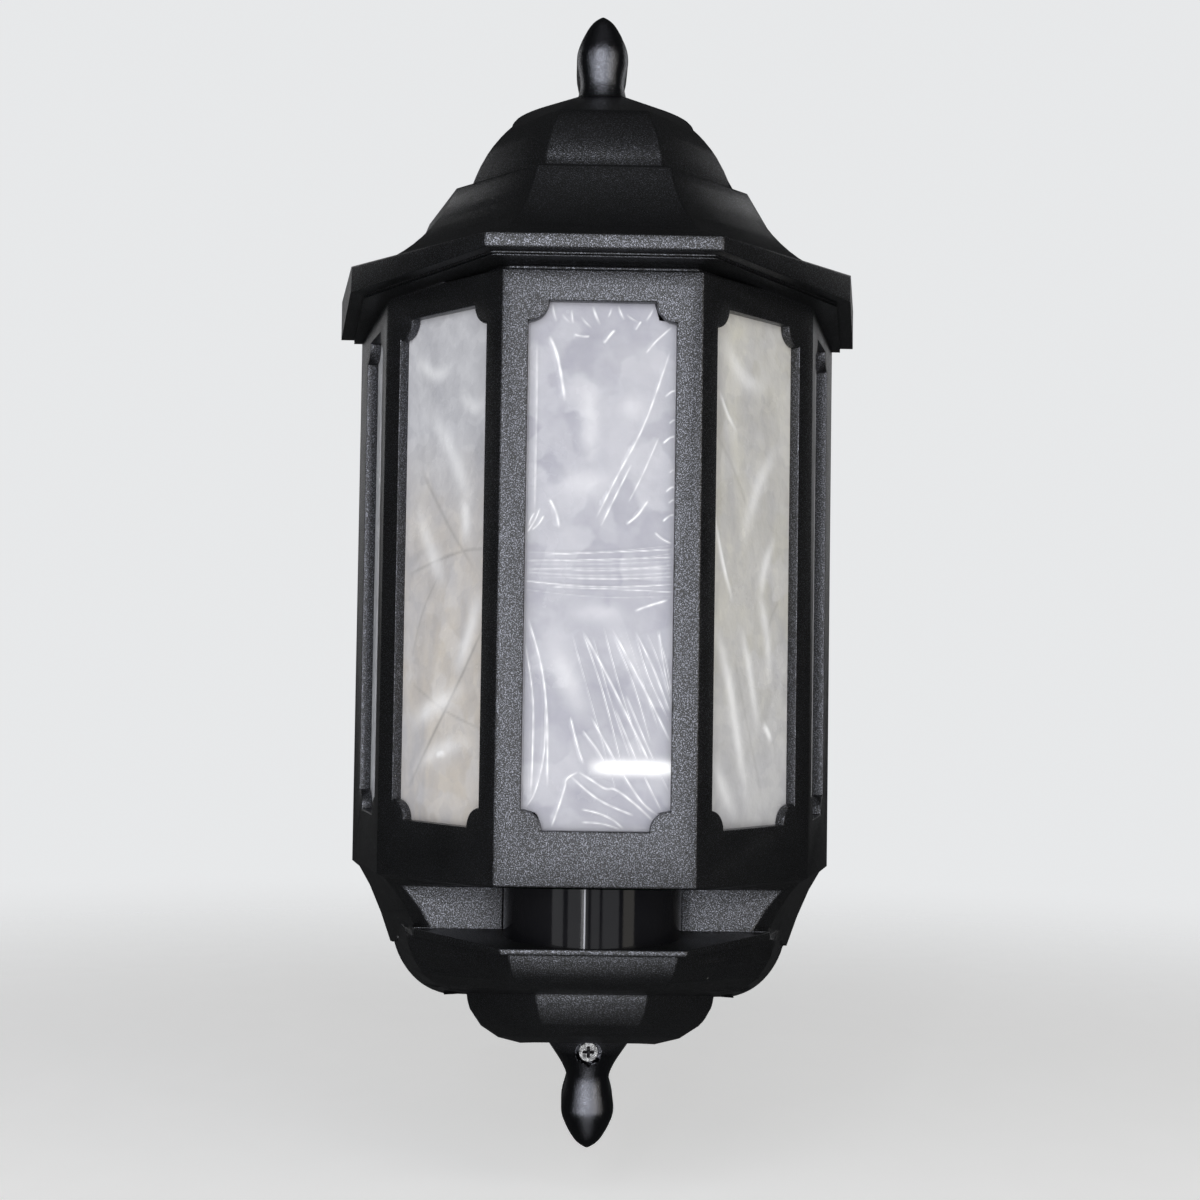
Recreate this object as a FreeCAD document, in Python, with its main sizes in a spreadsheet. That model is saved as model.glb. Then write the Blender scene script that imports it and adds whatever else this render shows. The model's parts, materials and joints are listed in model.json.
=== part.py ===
import FreeCAD, Part
import math
import os
import Sketcher

# Half lantern wall light, in millimetres. The wall is the plane y = 0, the front faces -Y and +Z is up.
# The origin lies on the wall, half way between the two wall fixings.

doc = FreeCAD.newDocument("half_lantern")
sheet = doc.addObject("Spreadsheet::Sheet", "Dims")

DIMENSIONS = {
    # Plan of the lantern: facets stand round a vertical axis in front of the wall
    "facet_half_angle": 24.85,
    "facet_axis_depth": 37,
    "side_draft": 13.7,
    "eave_side_draft": 9.2,
    "dome_side_draft": 5,
    "rim_gap": 0.6,
    # Fall of each underside from its front edge to the wall
    "eave_fall": 4.4,
    "foot_fall": 1.5,
    "taper_fall": 11.5,
    "step_fall": 10.1,
    "bowl_fall": 11,
    # Cage with the windows
    "foot_level": -91,
    "cage_height": 172.4,
    "cage_reach": 60.6,
    "cage_wall": 3.2,
    "shell_wall": 2.6,
    "window_width": 41.6,
    "window_foot": 15.6,
    "window_height": 147.9,
    "window_notch": 5.8,
    "side_window_width": 34,
    "side_window_margin": 7.6,
    # Eave
    "neck_reach": 57.8,
    "neck_height": 2.2,
    "lip_reach": 67,
    "lip_height": 1.5,
    "lip_groove_height": 0.5,
    "lip_groove_depth": 0.8,
    "fascia_reach": 70.8,
    "fascia_height": 4.3,
    # Roof
    "flare_height": 26.5,
    "flare_hollow": 0.67,
    "shoulder_reach": 41.7,
    "shoulder_height": 0.9,
    "dome_foot_reach": 37.4,
    "dome_radius": 37.95,
    "dome_turn": 43.1,
    "crown_height": 21.5,
    "crown_setback": 0.8,
    "dome_corner_ease": 0.05,
    "crown_narrowing": 1.9,
    # Sensor recess and ledge
    "recess_height": 17.6,
    "recess_depth": 40.2,
    "recess_roof_draft": 5.8,
    "recess_floor_draft": 1.1,
    "taper_reach": 49.2,
    "taper_hollow": 0.38,
    "taper_lift": 6.4,
    "ledge_reach": 56.2,
    "ledge_corner_half": 53,
    "ledge_wall_half": 60,
    "ledge_thickness": 1.8,
    "ledge_root": 1,
    "bowl_root": 4,
    # Bowls under the ledge
    "upper_bowl_reach": 51.5,
    "upper_bowl_foot_reach": 28.5,
    "upper_bowl_height": 14.5,
    "upper_bowl_side_draft": 11,
    "lower_bowl_reach": 35.6,
    "lower_bowl_foot_reach": 11.6,
    "lower_bowl_height": 17.5,
    "lower_bowl_side_draft": 2.3,
    # Finials
    "finial_depth": 18,
    "finial_bulb_radius": 8.3,
    "finial_cap_point": 1.29,
    "top_finial_root": 240,
    "top_finial_root_radius": 9.5,
    "top_finial_flare_radius": 7.7,
    "top_finial_flare_rise": 5,
    "top_finial_neck_radius": 7.1,
    "top_finial_neck_rise": 9.2,
    "top_finial_bulb_rise": 17.3,
    "top_finial_height": 31.2,
    "bottom_finial_root": -53,
    "bottom_finial_root_radius": 15,
    "bottom_finial_flare_radius": 9.8,
    "bottom_finial_flare_rise": 8.2,
    "bottom_finial_neck_radius": 6.6,
    "bottom_finial_neck_rise": 15.5,
    "bottom_finial_bulb_rise": 24.8,
    "bottom_finial_height": 37.3,
    # Screw that holds the lantern body to the back plate
    "fixing_drop": 58.6,
    "fixing_shank_radius": 2,
    "fixing_hole_clearance": 0.3,
    "fixing_thread_clearance": 0.08,
    "fixing_head_radius": 2.9,
    "fixing_head_height": 2.4,
    "fixing_well_radius": 4.2,
    "fixing_seat_depth": 25,
    "fixing_drive_width": 1,
    "fixing_drive_length": 3.6,
    "fixing_drive_depth": 1.4,
    # Panes
    "pane_thickness": 2,
    "pane_overlap": 3,
    # Back plate
    "plate_thickness": 3,
    "plate_rib_height": 6,
    "plate_rib_wall": 2.4,
    "plate_clearance": 1,
    "plate_head_height": 44,
    "plate_head_half": 26,
    "plate_foot_drop": 46,
    "plate_foot_half": 26,
    "tongue_half": 5,
    "tongue_drop": 63.5,
    "boss_radius": 4.2,
    "boss_length": 8,
    "wall_fixing_spacing": 140,
    "wall_fixing_radius": 2.6,
    "cable_entry_radius": 9,
    "cable_entry_side": 40,
    "cable_entry_level": -6,
    # Grommet
    "grommet_flange": 2.5,
    "grommet_flange_thickness": 1.6,
    "grommet_bore_radius": 4.5,
    # Lampholder and lamp
    "bracket_thickness": 1.5,
    "bracket_width": 40,
    "bracket_length": 62,
    "bracket_leg": 26,
    "bracket_level": 16,
    "bracket_screw_offset": 12,
    "lamp_axis_depth": 45,
    "holder_radius": 20,
    "holder_height": 50,
    "holder_bore_radius": 14.2,
    "holder_floor": 18,
    "holder_ring_radius": 23,
    "holder_ring_height": 9,
    "holder_ring_drop": 6,
    "lamp_cap_radius": 13.2,
    "lamp_cap_length": 33,
    "lamp_cap_gap": 0.3,
    "lamp_tube_radius": 18.5,
    "lamp_tube_length": 55,
    "lamp_end_radius": 13,
    "lamp_end_height": 6,
    # Terminal block and cable clamp
    "terminal_length": 30,
    "terminal_height": 17,
    "terminal_depth": 14,
    "terminal_side": -44,
    "terminal_level": -6,
    "terminal_pitch": 9.5,
    "terminal_bore_radius": 2.2,
    "terminal_screw_radius": 1.7,
    "terminal_screw_sink": 1.5,
    "clamp_length": 26,
    "clamp_height": 8,
    "clamp_depth": 4,
    "clamp_post_radius": 3.4,
    "clamp_post_height": 6,
    "clamp_level": -32,
    # Small pan-head screws
    "screw_shank_radius": 1.5,
    "screw_head_radius": 2.8,
    "screw_head_height": 1.8,
    "screw_length": 7,
    "screw_fit_clearance": 0.05,
    "pilot_depth": 2.4,
    # Sensor
    "lens_radius": 26,
    "lens_reach": 8.6,
    "lens_wall": 1.6,
    "lens_roof_clearance": 0.4,
    "lens_flange": 4,
    "lens_flange_thickness": 1.6,
    "board_width": 74,
    "board_height": 34,
    "board_thickness": 1.6,
    "board_drop": 9,
    "board_boss_radius": 3,
    "board_boss_length": 8,
    "board_boss_side": 33,
    "detector_radius": 4.6,
    "detector_height": 4.4,
    "relay_width": 19,
    "relay_height": 15,
    "relay_depth": 15,
    "relay_side": -16,
    "capacitor_radius": 5,
    "capacitor_length": 16,
    "capacitor_side": 2,
    "connector_width": 15,
    "connector_height": 8,
    "connector_depth": 10,
    "connector_side": 19,
    "part_row_offset": 5,
    "trimmer_size": 9,
    "trimmer_depth": 4.5,
    "trimmer_side": 12,
    "trimmer_row_drop": 9,
    "knob_radius": 3.6,
    "knob_height": 6,
    "knob_stem_radius": 1.5,
    "knob_stem_clearance": 0.05,
    "knob_lift": 0.4,
    "knob_slot_width": 1,
    "knob_slot_depth": 1.2,
}

for row, (alias, value) in enumerate(DIMENSIONS.items(), start=1):
    sheet.set(f"A{row}", alias)
    sheet.set(f"B{row}", str(value))
    sheet.setAlias(f"B{row}", alias)
doc.recompute()

FRONT = FreeCAD.Vector(0, -1, 0)
UP = FreeCAD.Vector(0, 0, 1)
REACH = 400
# The same length as text: it clears the lantern on every side
FAR = f"{REACH}"


def size(alias):
    return float(sheet.get(alias))


def bind(obj, **expressions):
    for prop, expression in expressions.items():
        obj.setExpression(prop.replace("__", "."), expression)
    return obj


def place(obj, x="0", y="0", z="0"):
    obj.setExpression("Placement.Base.x", x)
    obj.setExpression("Placement.Base.y", y)
    obj.setExpression("Placement.Base.z", z)
    return obj


def box(name, length, width, height, x, y, z):
    made = doc.addObject("Part::Box", name)
    bind(made, Length=length, Width=width, Height=height)
    return place(made, x, y, z)


def cylinder(name, radius, height, x, y, z, direction=UP):
    made = doc.addObject("Part::Cylinder", name)
    bind(made, Radius=radius, Height=height)
    made.Placement.Rotation = FreeCAD.Rotation(UP, direction)
    return place(made, x, y, z)


def fuse(name, shapes):
    made = doc.addObject("Part::MultiFuse", name)
    made.Shapes = shapes
    made.Refine = True
    return made


def cut(name, base, tools):
    made = doc.addObject("Part::Cut", name)
    made.Base = base
    made.Tool = tools[0] if len(tools) == 1 else fuse(name + "_tools", tools)
    return made


def common(name, shapes):
    made = doc.addObject("Part::MultiCommon", name)
    made.Shapes = shapes
    return made


def solid_from(name, shape):
    made = doc.addObject("Part::Feature", name)
    made.Shape = shape
    return made


# Plan outlines are five expressions: front half width, front depth, corner half width, corner depth
# and half width at the wall
HALF = "(Dims.facet_half_angle * 1 deg)"


def facet_plan(reach, draft="Dims.side_draft"):
    corner_half = f"(({reach}) * sin(3 * {HALF}) / cos({HALF}))"
    corner_depth = f"(Dims.facet_axis_depth + ({reach}) * cos(3 * {HALF}) / cos({HALF}))"
    return (
        f"({reach}) * tan({HALF})",
        f"Dims.facet_axis_depth + ({reach})",
        corner_half,
        corner_depth,
        f"{corner_half} + {corner_depth} * tan({draft} * 1 deg)",
    )


def scaled_plan(plan, across, deep):
    front_half, front_depth, corner_half, corner_depth, wall_half = plan
    return (
        f"({front_half}) * {across}",
        f"({front_depth}) * {deep}",
        f"({corner_half}) * {across}",
        f"({corner_depth}) * {deep}",
        f"({wall_half}) * {across}",
    )


def ring(name, level, plan, tilt="0"):
    """A half-lantern outline. Its front edge lies at the level and it falls by the tilt to the wall."""
    sketch = doc.addObject("Sketcher::SketchObject", name)
    corners = [(80, 0), (65, -55), (30, -100), (-30, -100), (-65, -55), (-80, 0)]
    count = len(corners)
    for start in range(count):
        ends = [FreeCAD.Vector(*corners[i % count], 0) for i in (start, start + 1)]
        sketch.addGeometry(Part.LineSegment(*ends))
    for start in range(count):
        sketch.addConstraint(Sketcher.Constraint("Coincident", start, 2, (start + 1) % count, 1))
    sketch.addConstraint(Sketcher.Constraint("PointOnObject", 0, 1, -1))
    sketch.addConstraint(Sketcher.Constraint("Symmetric", 0, 1, 4, 2, -2))
    sketch.addConstraint(Sketcher.Constraint("Symmetric", 1, 1, 3, 2, -2))
    sketch.addConstraint(Sketcher.Constraint("Symmetric", 1, 2, 2, 2, -2))
    front_half, front_depth, corner_half, corner_depth, wall_half = plan
    slope = f"cos(({tilt}) * 1 deg)"
    dimensions = [
        ("front_half", Sketcher.Constraint("DistanceX", -1, 1, 1, 2, 30), front_half),
        ("front_depth", Sketcher.Constraint("DistanceY", 1, 2, -1, 1, 100), f"({front_depth}) / {slope}"),
        ("corner_half", Sketcher.Constraint("DistanceX", -1, 1, 0, 2, 65), corner_half),
        ("corner_depth", Sketcher.Constraint("DistanceY", 0, 2, -1, 1, 55), f"({corner_depth}) / {slope}"),
        ("wall_half", Sketcher.Constraint("DistanceX", -1, 1, 0, 1, 80), wall_half),
    ]
    for label, constraint, expression in dimensions:
        sketch.renameConstraint(sketch.addConstraint(constraint), label)
        sketch.setExpression("Constraints." + label, expression)
    sketch.Placement.Rotation = FreeCAD.Rotation(FreeCAD.Vector(-1, 0, 0), 1)
    sketch.setExpression("Placement.Rotation.Angle", f"({tilt}) * 1 deg")
    return place(sketch, z=f"({level}) - ({front_depth}) * tan(({tilt}) * 1 deg)")


def loft(name, rings, ruled=False):
    made = doc.addObject("Part::Loft", name)
    made.Sections = rings
    made.Solid = True
    made.Ruled = ruled
    return made


# Levels that the forms share
FOOT = "Dims.foot_level"
CAGE_TOP = f"{FOOT} + Dims.cage_height"
LIP_FOOT = f"{CAGE_TOP} + Dims.neck_height"
FASCIA_FOOT = f"{LIP_FOOT} + Dims.lip_height"
EAVE_TOP = f"{FASCIA_FOOT} + Dims.fascia_height"
SHOULDER_FOOT = f"{EAVE_TOP} + Dims.flare_height"
DOME_FOOT = f"{SHOULDER_FOOT} + Dims.shoulder_height"
DOME_CENTRE = f"({DOME_FOOT} - sqrt(Dims.dome_radius ^ 2 - Dims.dome_foot_reach ^ 2))"
DOME_TOP = f"({DOME_CENTRE} + Dims.dome_radius * sin(Dims.dome_turn * 1 deg))"
LEDGE_TOP = f"{FOOT} - Dims.recess_height"
TAPER_FOOT = f"{LEDGE_TOP} + Dims.taper_lift"
BOWL_TOP = f"{LEDGE_TOP} - Dims.ledge_thickness"
BOWL_STEP = f"{BOWL_TOP} - Dims.upper_bowl_height"
RECESS_BACK = "(Dims.facet_axis_depth + Dims.cage_reach - Dims.recess_depth)"


def blend(start, end, share):
    return f"(({start}) + (({end}) - ({start})) * ({share}))"


def hollow_share(turn, hollow):
    return f"((1 - {hollow}) * sin({turn} deg) + {hollow} * (1 - cos({turn} deg)))"


def flare_rings(name, inset):
    rings = []
    for turn in (0, 25, 50, 72, 90):
        share = hollow_share(turn, "Dims.flare_hollow")
        reach = blend("Dims.shoulder_reach", "Dims.fascia_reach", share) + f" - {inset}"
        draft = blend("Dims.side_draft", "Dims.eave_side_draft", share)
        level = f"{SHOULDER_FOOT} - Dims.flare_height * sin({turn} deg) - {inset}"
        rings.append(ring(f"{name}_{turn}", level, facet_plan(reach, draft)))
    return rings


def dome_plan(reach, share):
    """The dome's outline. Its corners are eased in towards the top."""
    front_half, front_depth, corner_half, corner_depth, wall_half = facet_plan(reach, "Dims.dome_side_draft")
    ease = f"(1 - Dims.dome_corner_ease * ({share}))"
    return front_half, front_depth, f"{corner_half} * {ease}", corner_depth, f"({wall_half}) * {ease}"


def dome_rings(name, inset):
    start = f"acos(Dims.dome_foot_reach / Dims.dome_radius)"
    rings = []
    for step in range(4):
        angle = f"({start} + (Dims.dome_turn * 1 deg - {start}) * {step} / 3)"
        reach = f"Dims.dome_radius * cos({angle}) - {inset}"
        level = f"{DOME_CENTRE} + Dims.dome_radius * sin({angle}) - {inset}"
        rings.append(ring(f"{name}_{step}", level, dome_plan(reach, f"{step} / 3")))
    return rings


def crown_rings(name, inset):
    base = dome_plan(f"Dims.dome_radius * cos(Dims.dome_turn * 1 deg) - {inset}", "1")
    rings = []
    for turn in (0, 20, 40, 60, 78):
        across = f"(cos({turn} deg) ^ Dims.crown_narrowing)"
        plan = scaled_plan(base, across, f"(1 - Dims.crown_setback * sin({turn} deg))")
        level = f"{DOME_TOP} + Dims.crown_height * sin({turn} deg) - {inset}"
        rings.append(ring(f"{name}_{turn}", level, plan))
    return rings


BOWL_TURNS = (0, 18, 36, 54, 72, 88)


def upper_bowl_rings(name, inset, top, height):
    rings = []
    for turn in BOWL_TURNS:
        reach = blend("Dims.upper_bowl_foot_reach", "Dims.upper_bowl_reach", f"cos({turn} deg)")
        level = f"{top} - ({height}) * sin({turn} deg)"
        tilt = f"Dims.step_fall * sin({turn} deg)"
        plan = facet_plan(f"{reach} - {inset}", "Dims.upper_bowl_side_draft")
        rings.append(ring(f"{name}_{turn}", level, plan, tilt))
    return rings


def lower_bowl_rings(name, inset, top, height):
    rings = []
    for turn in BOWL_TURNS:
        reach = blend("Dims.lower_bowl_foot_reach", "Dims.lower_bowl_reach", f"cos({turn} deg)")
        level = f"{top} - ({height}) * sin({turn} deg)"
        plan = facet_plan(f"{reach} - {inset}", "Dims.lower_bowl_side_draft")
        rings.append(ring(f"{name}_{turn}", level, plan, "Dims.bowl_fall"))
    return rings


def taper_rings(name, inset, top, foot):
    rings = []
    for turn in (0, 22, 45, 68, 90):
        share = hollow_share(90 - turn, "Dims.taper_hollow")
        reach = blend("Dims.taper_reach", "Dims.cage_reach", share) + f" - {inset}"
        drop = f"(1 - sin({90 - turn} deg))"
        level = blend(top, foot, drop)
        tilt = blend("Dims.foot_fall", "Dims.taper_fall", drop)
        rings.append(ring(f"{name}_{turn}", level, facet_plan(reach), tilt))
    return rings


def prism(name, foot, top, plan, foot_tilt="0", top_tilt="0"):
    rings = [ring(name + "_foot", foot, plan, foot_tilt), ring(name + "_top", top, plan, top_tilt)]
    return loft(name, rings, ruled=True)


# Outer form of the lantern body
EAVE_FALL = "Dims.eave_fall"
EAVE_DRAFT = "Dims.eave_side_draft"
shoulder_plan = facet_plan("Dims.shoulder_reach")
dome_foot_plan = facet_plan("Dims.dome_foot_reach", "Dims.dome_side_draft")
ledge_plan = (
    f"Dims.ledge_reach * tan({HALF})",
    "Dims.facet_axis_depth + Dims.ledge_reach",
    "Dims.ledge_corner_half",
    RECESS_BACK,
    "Dims.ledge_wall_half",
)
outer_forms = [
    loft("crown", crown_rings("crown_ring", "0")),
    loft("dome", dome_rings("dome_ring", "0")),
    loft("shoulder", [ring("shoulder_low", SHOULDER_FOOT, shoulder_plan),
                      ring("shoulder_high", DOME_FOOT, dome_foot_plan)], ruled=True),
    loft("flare", flare_rings("flare_ring", "0")),
    prism("fascia", FASCIA_FOOT, EAVE_TOP, facet_plan("Dims.fascia_reach", EAVE_DRAFT), EAVE_FALL),
    prism("lip", LIP_FOOT, EAVE_TOP, facet_plan("Dims.lip_reach", EAVE_DRAFT), EAVE_FALL),
    prism("neck", CAGE_TOP, EAVE_TOP, facet_plan("Dims.neck_reach")),
    prism("cage", FOOT, CAGE_TOP, facet_plan("Dims.cage_reach"), "Dims.foot_fall"),
    loft("taper", taper_rings("taper_ring", "0", FOOT, TAPER_FOOT), ruled=True),
    prism("ledge", BOWL_TOP, f"{LEDGE_TOP} + Dims.ledge_root", ledge_plan),
    loft("upper_bowl", upper_bowl_rings("upper_bowl_ring", "0", BOWL_TOP, "Dims.upper_bowl_height"), True),
    loft("lower_bowl", lower_bowl_rings("lower_bowl_ring", "0", f"{BOWL_STEP} + Dims.bowl_root",
                                        "Dims.lower_bowl_height + Dims.bowl_root"), True),
]


def finial(name, direction):
    """A turned finial whose back half runs straight to the wall."""
    root_level = size("foot_level") + size(name + "_root")
    bulb_radius = size("finial_bulb_radius")
    bulb_rise = size(name + "_bulb_rise")

    def at(radius, rise):
        return FreeCAD.Vector(radius, -size("finial_depth"), root_level + direction * rise)
    middle = at(0, 0)
    root = at(size(name + "_root_radius"), 0)
    flare = at(size(name + "_flare_radius"), size(name + "_flare_rise"))
    neck = at(size(name + "_neck_radius"), size(name + "_neck_rise"))
    bulb = at(bulb_radius, bulb_rise)
    tip = at(0, size(name + "_height"))
    neck_curve = Part.BSplineCurve()
    neck_curve.interpolate(Points=[root, flare, neck, bulb],
                           InitialTangent=FreeCAD.Vector(-1, 0, 2 * direction),
                           FinalTangent=FreeCAD.Vector(0, 0, direction))
    cap_height = size(name + "_height") - bulb_rise
    cap_points = []
    for turn in (0, 25, 48, 68, 82, 90):
        angle = math.radians(turn)
        across = max(math.cos(angle), 0) ** size("finial_cap_point")
        along = math.sin(angle) ** size("finial_cap_point")
        cap_points.append(at(bulb_radius * across, bulb_rise + cap_height * along))
    cap_curve = Part.BSplineCurve()
    cap_curve.interpolate(Points=cap_points,
                          InitialTangent=FreeCAD.Vector(0, 0, direction),
                          FinalTangent=FreeCAD.Vector(-1, 0, 0))
    edges = [neck_curve.toShape(), cap_curve.toShape(), Part.makeLine(tip, middle),
             Part.makeLine(middle, root)]
    half = Part.Face(Part.Wire(edges))
    turned = half.revolve(middle, UP, 360)
    mirrored = half.mirror(middle, FreeCAD.Vector(1, 0, 0))
    to_wall = FreeCAD.Vector(0, size("finial_depth"), 0)
    backs = [half.extrude(to_wall), mirrored.extrude(to_wall)]
    whole = turned.fuse(backs).removeSplitter()
    in_front = Part.makeBox(REACH, REACH, 2 * REACH, FreeCAD.Vector(-REACH / 2, -REACH, -REACH))
    return solid_from(name, whole.common(in_front))


outer_forms.append(finial("top_finial", 1))
outer_forms.append(finial("bottom_finial", -1))
outer = fuse("outer_form", outer_forms)

# Hollow of the lantern body
WALL = "Dims.shell_wall"
cage_inner_plan = facet_plan("Dims.cage_reach - Dims.cage_wall")
neck_inner_plan = facet_plan(f"Dims.neck_reach - {WALL}")
recess_inner = box("recess_inner", f"2 * {FAR}", RECESS_BACK + f" - {WALL}", f"2 * {FAR}",
                   f"-{FAR}", f"-{RECESS_BACK} + {WALL}", f"-{FAR}")
taper_inner = loft("taper_inner", taper_rings("taper_inner_ring", WALL, f"{FOOT} + 2 * {WALL}", TAPER_FOOT),
                   ruled=True)
bowl_inner_top = f"{LEDGE_TOP} - {WALL}"
bowl_inner_plan = facet_plan(f"Dims.upper_bowl_reach - {WALL}", "Dims.upper_bowl_side_draft")
throat = prism("throat", f"{bowl_inner_top} - {WALL} / 2", f"{LEDGE_TOP} + {WALL}", bowl_inner_plan)
bowl_inner_height = f"Dims.upper_bowl_height + Dims.ledge_thickness - 2 * {WALL}"
hollows = [
    prism("cage_hollow", f"{FOOT} + {WALL}", f"{CAGE_TOP} - {WALL}", cage_inner_plan, "Dims.foot_fall"),
    prism("neck_hollow", f"{CAGE_TOP} - 2 * {WALL}", f"{EAVE_TOP} - {WALL}", neck_inner_plan),
    loft("flare_hollow_form", flare_rings("flare_inner", WALL)),
    loft("shoulder_hollow", [
        ring("shoulder_inner_low", f"{SHOULDER_FOOT} - {WALL}", facet_plan(f"Dims.shoulder_reach - {WALL}")),
        ring("shoulder_inner_high", f"{DOME_FOOT} - {WALL}", facet_plan(f"Dims.dome_foot_reach - {WALL}",
                                                                        "Dims.dome_side_draft")),
    ], ruled=True),
    loft("dome_hollow", dome_rings("dome_inner", WALL)),
    loft("crown_hollow", crown_rings("crown_inner", WALL)),
    common("sensor_hollow", [fuse("sensor_room", [taper_inner, throat]), recess_inner]),
    loft("upper_bowl_hollow",
         upper_bowl_rings("upper_bowl_inner", WALL, bowl_inner_top, bowl_inner_height), True),
]
lower_bowl_hollow = loft("lower_bowl_hollow",
                         lower_bowl_rings("lower_bowl_inner", WALL, f"{BOWL_STEP} + 2 * {WALL}",
                                          f"Dims.lower_bowl_height + {WALL}"), True)

# Recess for the sensor, cut straight through the front and the diagonals
recess = doc.addObject("Part::Wedge", "recess")
bind(
    recess,
    Xmin=f"-{FAR}", Xmax=FAR, X2min=f"-{FAR}", X2max=FAR,
    Ymin="-(Dims.facet_axis_depth + Dims.cage_reach)",
    Ymax=f"-{RECESS_BACK}",
    Zmin=LEDGE_TOP,
    Zmax=FOOT,
    Z2min=f"{LEDGE_TOP} + Dims.recess_depth * tan(Dims.recess_floor_draft * 1 deg)",
    Z2max=f"{FOOT} - Dims.recess_depth * tan(Dims.recess_roof_draft * 1 deg)",
)


# Windows: upright rectangles with a quarter circle taken out of each corner
def window_sketch(name, width, height, notch):
    sketch = doc.addObject("Sketcher::SketchObject", name)
    half, tall, bite = 20, 75, 5

    def vector(x, y):
        return FreeCAD.Vector(x, y, 0)
    sides = [
        ((-half + bite, -tall), (half - bite, -tall)),
        ((half, -tall + bite), (half, tall - bite)),
        ((half - bite, tall), (-half + bite, tall)),
        ((-half, tall - bite), (-half, -tall + bite)),
    ]
    for start, end in sides:
        sketch.addGeometry(Part.LineSegment(vector(*start), vector(*end)))
    corners = [
        (half, -tall, 90, 180),
        (half, tall, 180, 270),
        (-half, tall, 270, 360),
        (-half, -tall, 0, 90),
    ]
    for x, y, start, end in corners:
        circle = Part.Circle(vector(x, y), UP, bite)
        sketch.addGeometry(Part.ArcOfCircle(circle, math.radians(start), math.radians(end)))
    # Each arc starts on the next side and ends on the side before it
    for side in range(4):
        arc = 4 + side
        sketch.addConstraint(Sketcher.Constraint("Coincident", side, 2, arc, 2))
        sketch.addConstraint(Sketcher.Constraint("Coincident", (side + 1) % 4, 1, arc, 1))
        kind = "Horizontal" if side % 2 == 0 else "Vertical"
        sketch.addConstraint(Sketcher.Constraint(kind, side))
    for arc in (5, 6, 7):
        sketch.addConstraint(Sketcher.Constraint("Equal", 4, arc))
    # Arc centres lie on the lines of the sides
    for side in range(4):
        arc = 4 + side
        sketch.addConstraint(Sketcher.Constraint("PointOnObject", arc, 3, side))
        sketch.addConstraint(Sketcher.Constraint("PointOnObject", arc, 3, (side + 1) % 4))
    sketch.addConstraint(Sketcher.Constraint("Symmetric", 4, 3, 6, 3, -1, 1))
    dimensions = [
        ("width", Sketcher.Constraint("DistanceX", 7, 3, 4, 3, 2 * half), width),
        ("height", Sketcher.Constraint("DistanceY", 4, 3, 5, 3, 2 * tall), height),
        ("notch", Sketcher.Constraint("Radius", 4, bite), notch),
    ]
    for label, constraint, expression in dimensions:
        sketch.renameConstraint(sketch.addConstraint(constraint), label)
        sketch.setExpression("Constraints." + label, expression)
    return sketch


def plate_between(name, sketch, start, end):
    """The sketch drawn out along its normal from start to end."""
    made = doc.addObject("Part::Extrusion", name)
    made.Base = sketch
    made.DirMode = "Normal"
    made.Solid = True
    made.setExpression("LengthFwd", end)
    made.setExpression("LengthRev", f"-({start})")
    return made


def tan_deg(alias):
    return math.tan(math.radians(size(alias)))


half_angle = math.radians(size("facet_half_angle"))
cage_reach = size("cage_reach")
axis_depth = size("facet_axis_depth")
corner_half = cage_reach * math.sin(3 * half_angle) / math.cos(half_angle)
corner_depth = axis_depth + cage_reach * math.cos(3 * half_angle) / math.cos(half_angle)
window_level = size("foot_level") + size("window_foot") + size("window_height") / 2
side_turn = 90 - size("side_draft")
side_direction = FreeCAD.Vector(math.sin(math.radians(size("side_draft"))),
                                math.cos(math.radians(size("side_draft"))), 0)


def upright(x, y, turn):
    """Placement of an upright outline that faces out of the lantern, turned from the front."""
    spin = FreeCAD.Rotation(UP, turn) * FreeCAD.Rotation(FreeCAD.Vector(1, 0, 0), 90)
    return FreeCAD.Placement(FreeCAD.Vector(x, y, window_level), spin)


def facet_place(turn):
    angle = math.radians(turn)
    return upright(cage_reach * math.sin(angle), -axis_depth - cage_reach * math.cos(angle), turn)


def side_place(hand):
    along = size("side_window_margin") + size("side_window_width") / 2
    point = FreeCAD.Vector(corner_half, -corner_depth, 0) + side_direction * along
    return upright(hand * point.x, point.y, hand * side_turn)


facet_turn = 2 * size("facet_half_angle")
WINDOWS = {
    "front": ("Dims.window_width", facet_place(0)),
    "right_diagonal": ("Dims.window_width", facet_place(facet_turn)),
    "left_diagonal": ("Dims.window_width", facet_place(-facet_turn)),
    "right_side": ("Dims.side_window_width", side_place(1)),
    "left_side": ("Dims.side_window_width", side_place(-1)),
}

window_cuts = []
panes = []
for window, (width, placement) in WINDOWS.items():
    outline = window_sketch(window + "_window", width, "Dims.window_height", "Dims.window_notch")
    outline.Placement = placement
    window_cuts.append(plate_between(window + "_window_cut", outline, "-2 * Dims.cage_wall",
                                     "Dims.cage_wall"))

    pane_outline = window_sketch(window + "_pane_outline", width + " + 2 * Dims.pane_overlap",
                                 "Dims.window_height + 2 * Dims.pane_overlap", "Dims.pane_overlap")
    pane_outline.Placement = placement
    seat = "-Dims.cage_wall"
    if "side" in window:
        # The side wall is thicker, because the corner of the hollow moves in along its bisector
        seat = f"-Dims.cage_wall * cos(Dims.side_draft * 1 deg + 3 * {HALF} - 90 deg) / cos({HALF})"
    pane = plate_between(window + "_pane", pane_outline, f"{seat} - Dims.pane_thickness", seat)
    panes.append(pane)

# Sensor lens: a half-round shell with a flange behind the recess wall
LENS_BACK = f"({RECESS_BACK} - {WALL})"
LENS_CENTRE = f"({RECESS_BACK} + Dims.lens_reach)"


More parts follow.
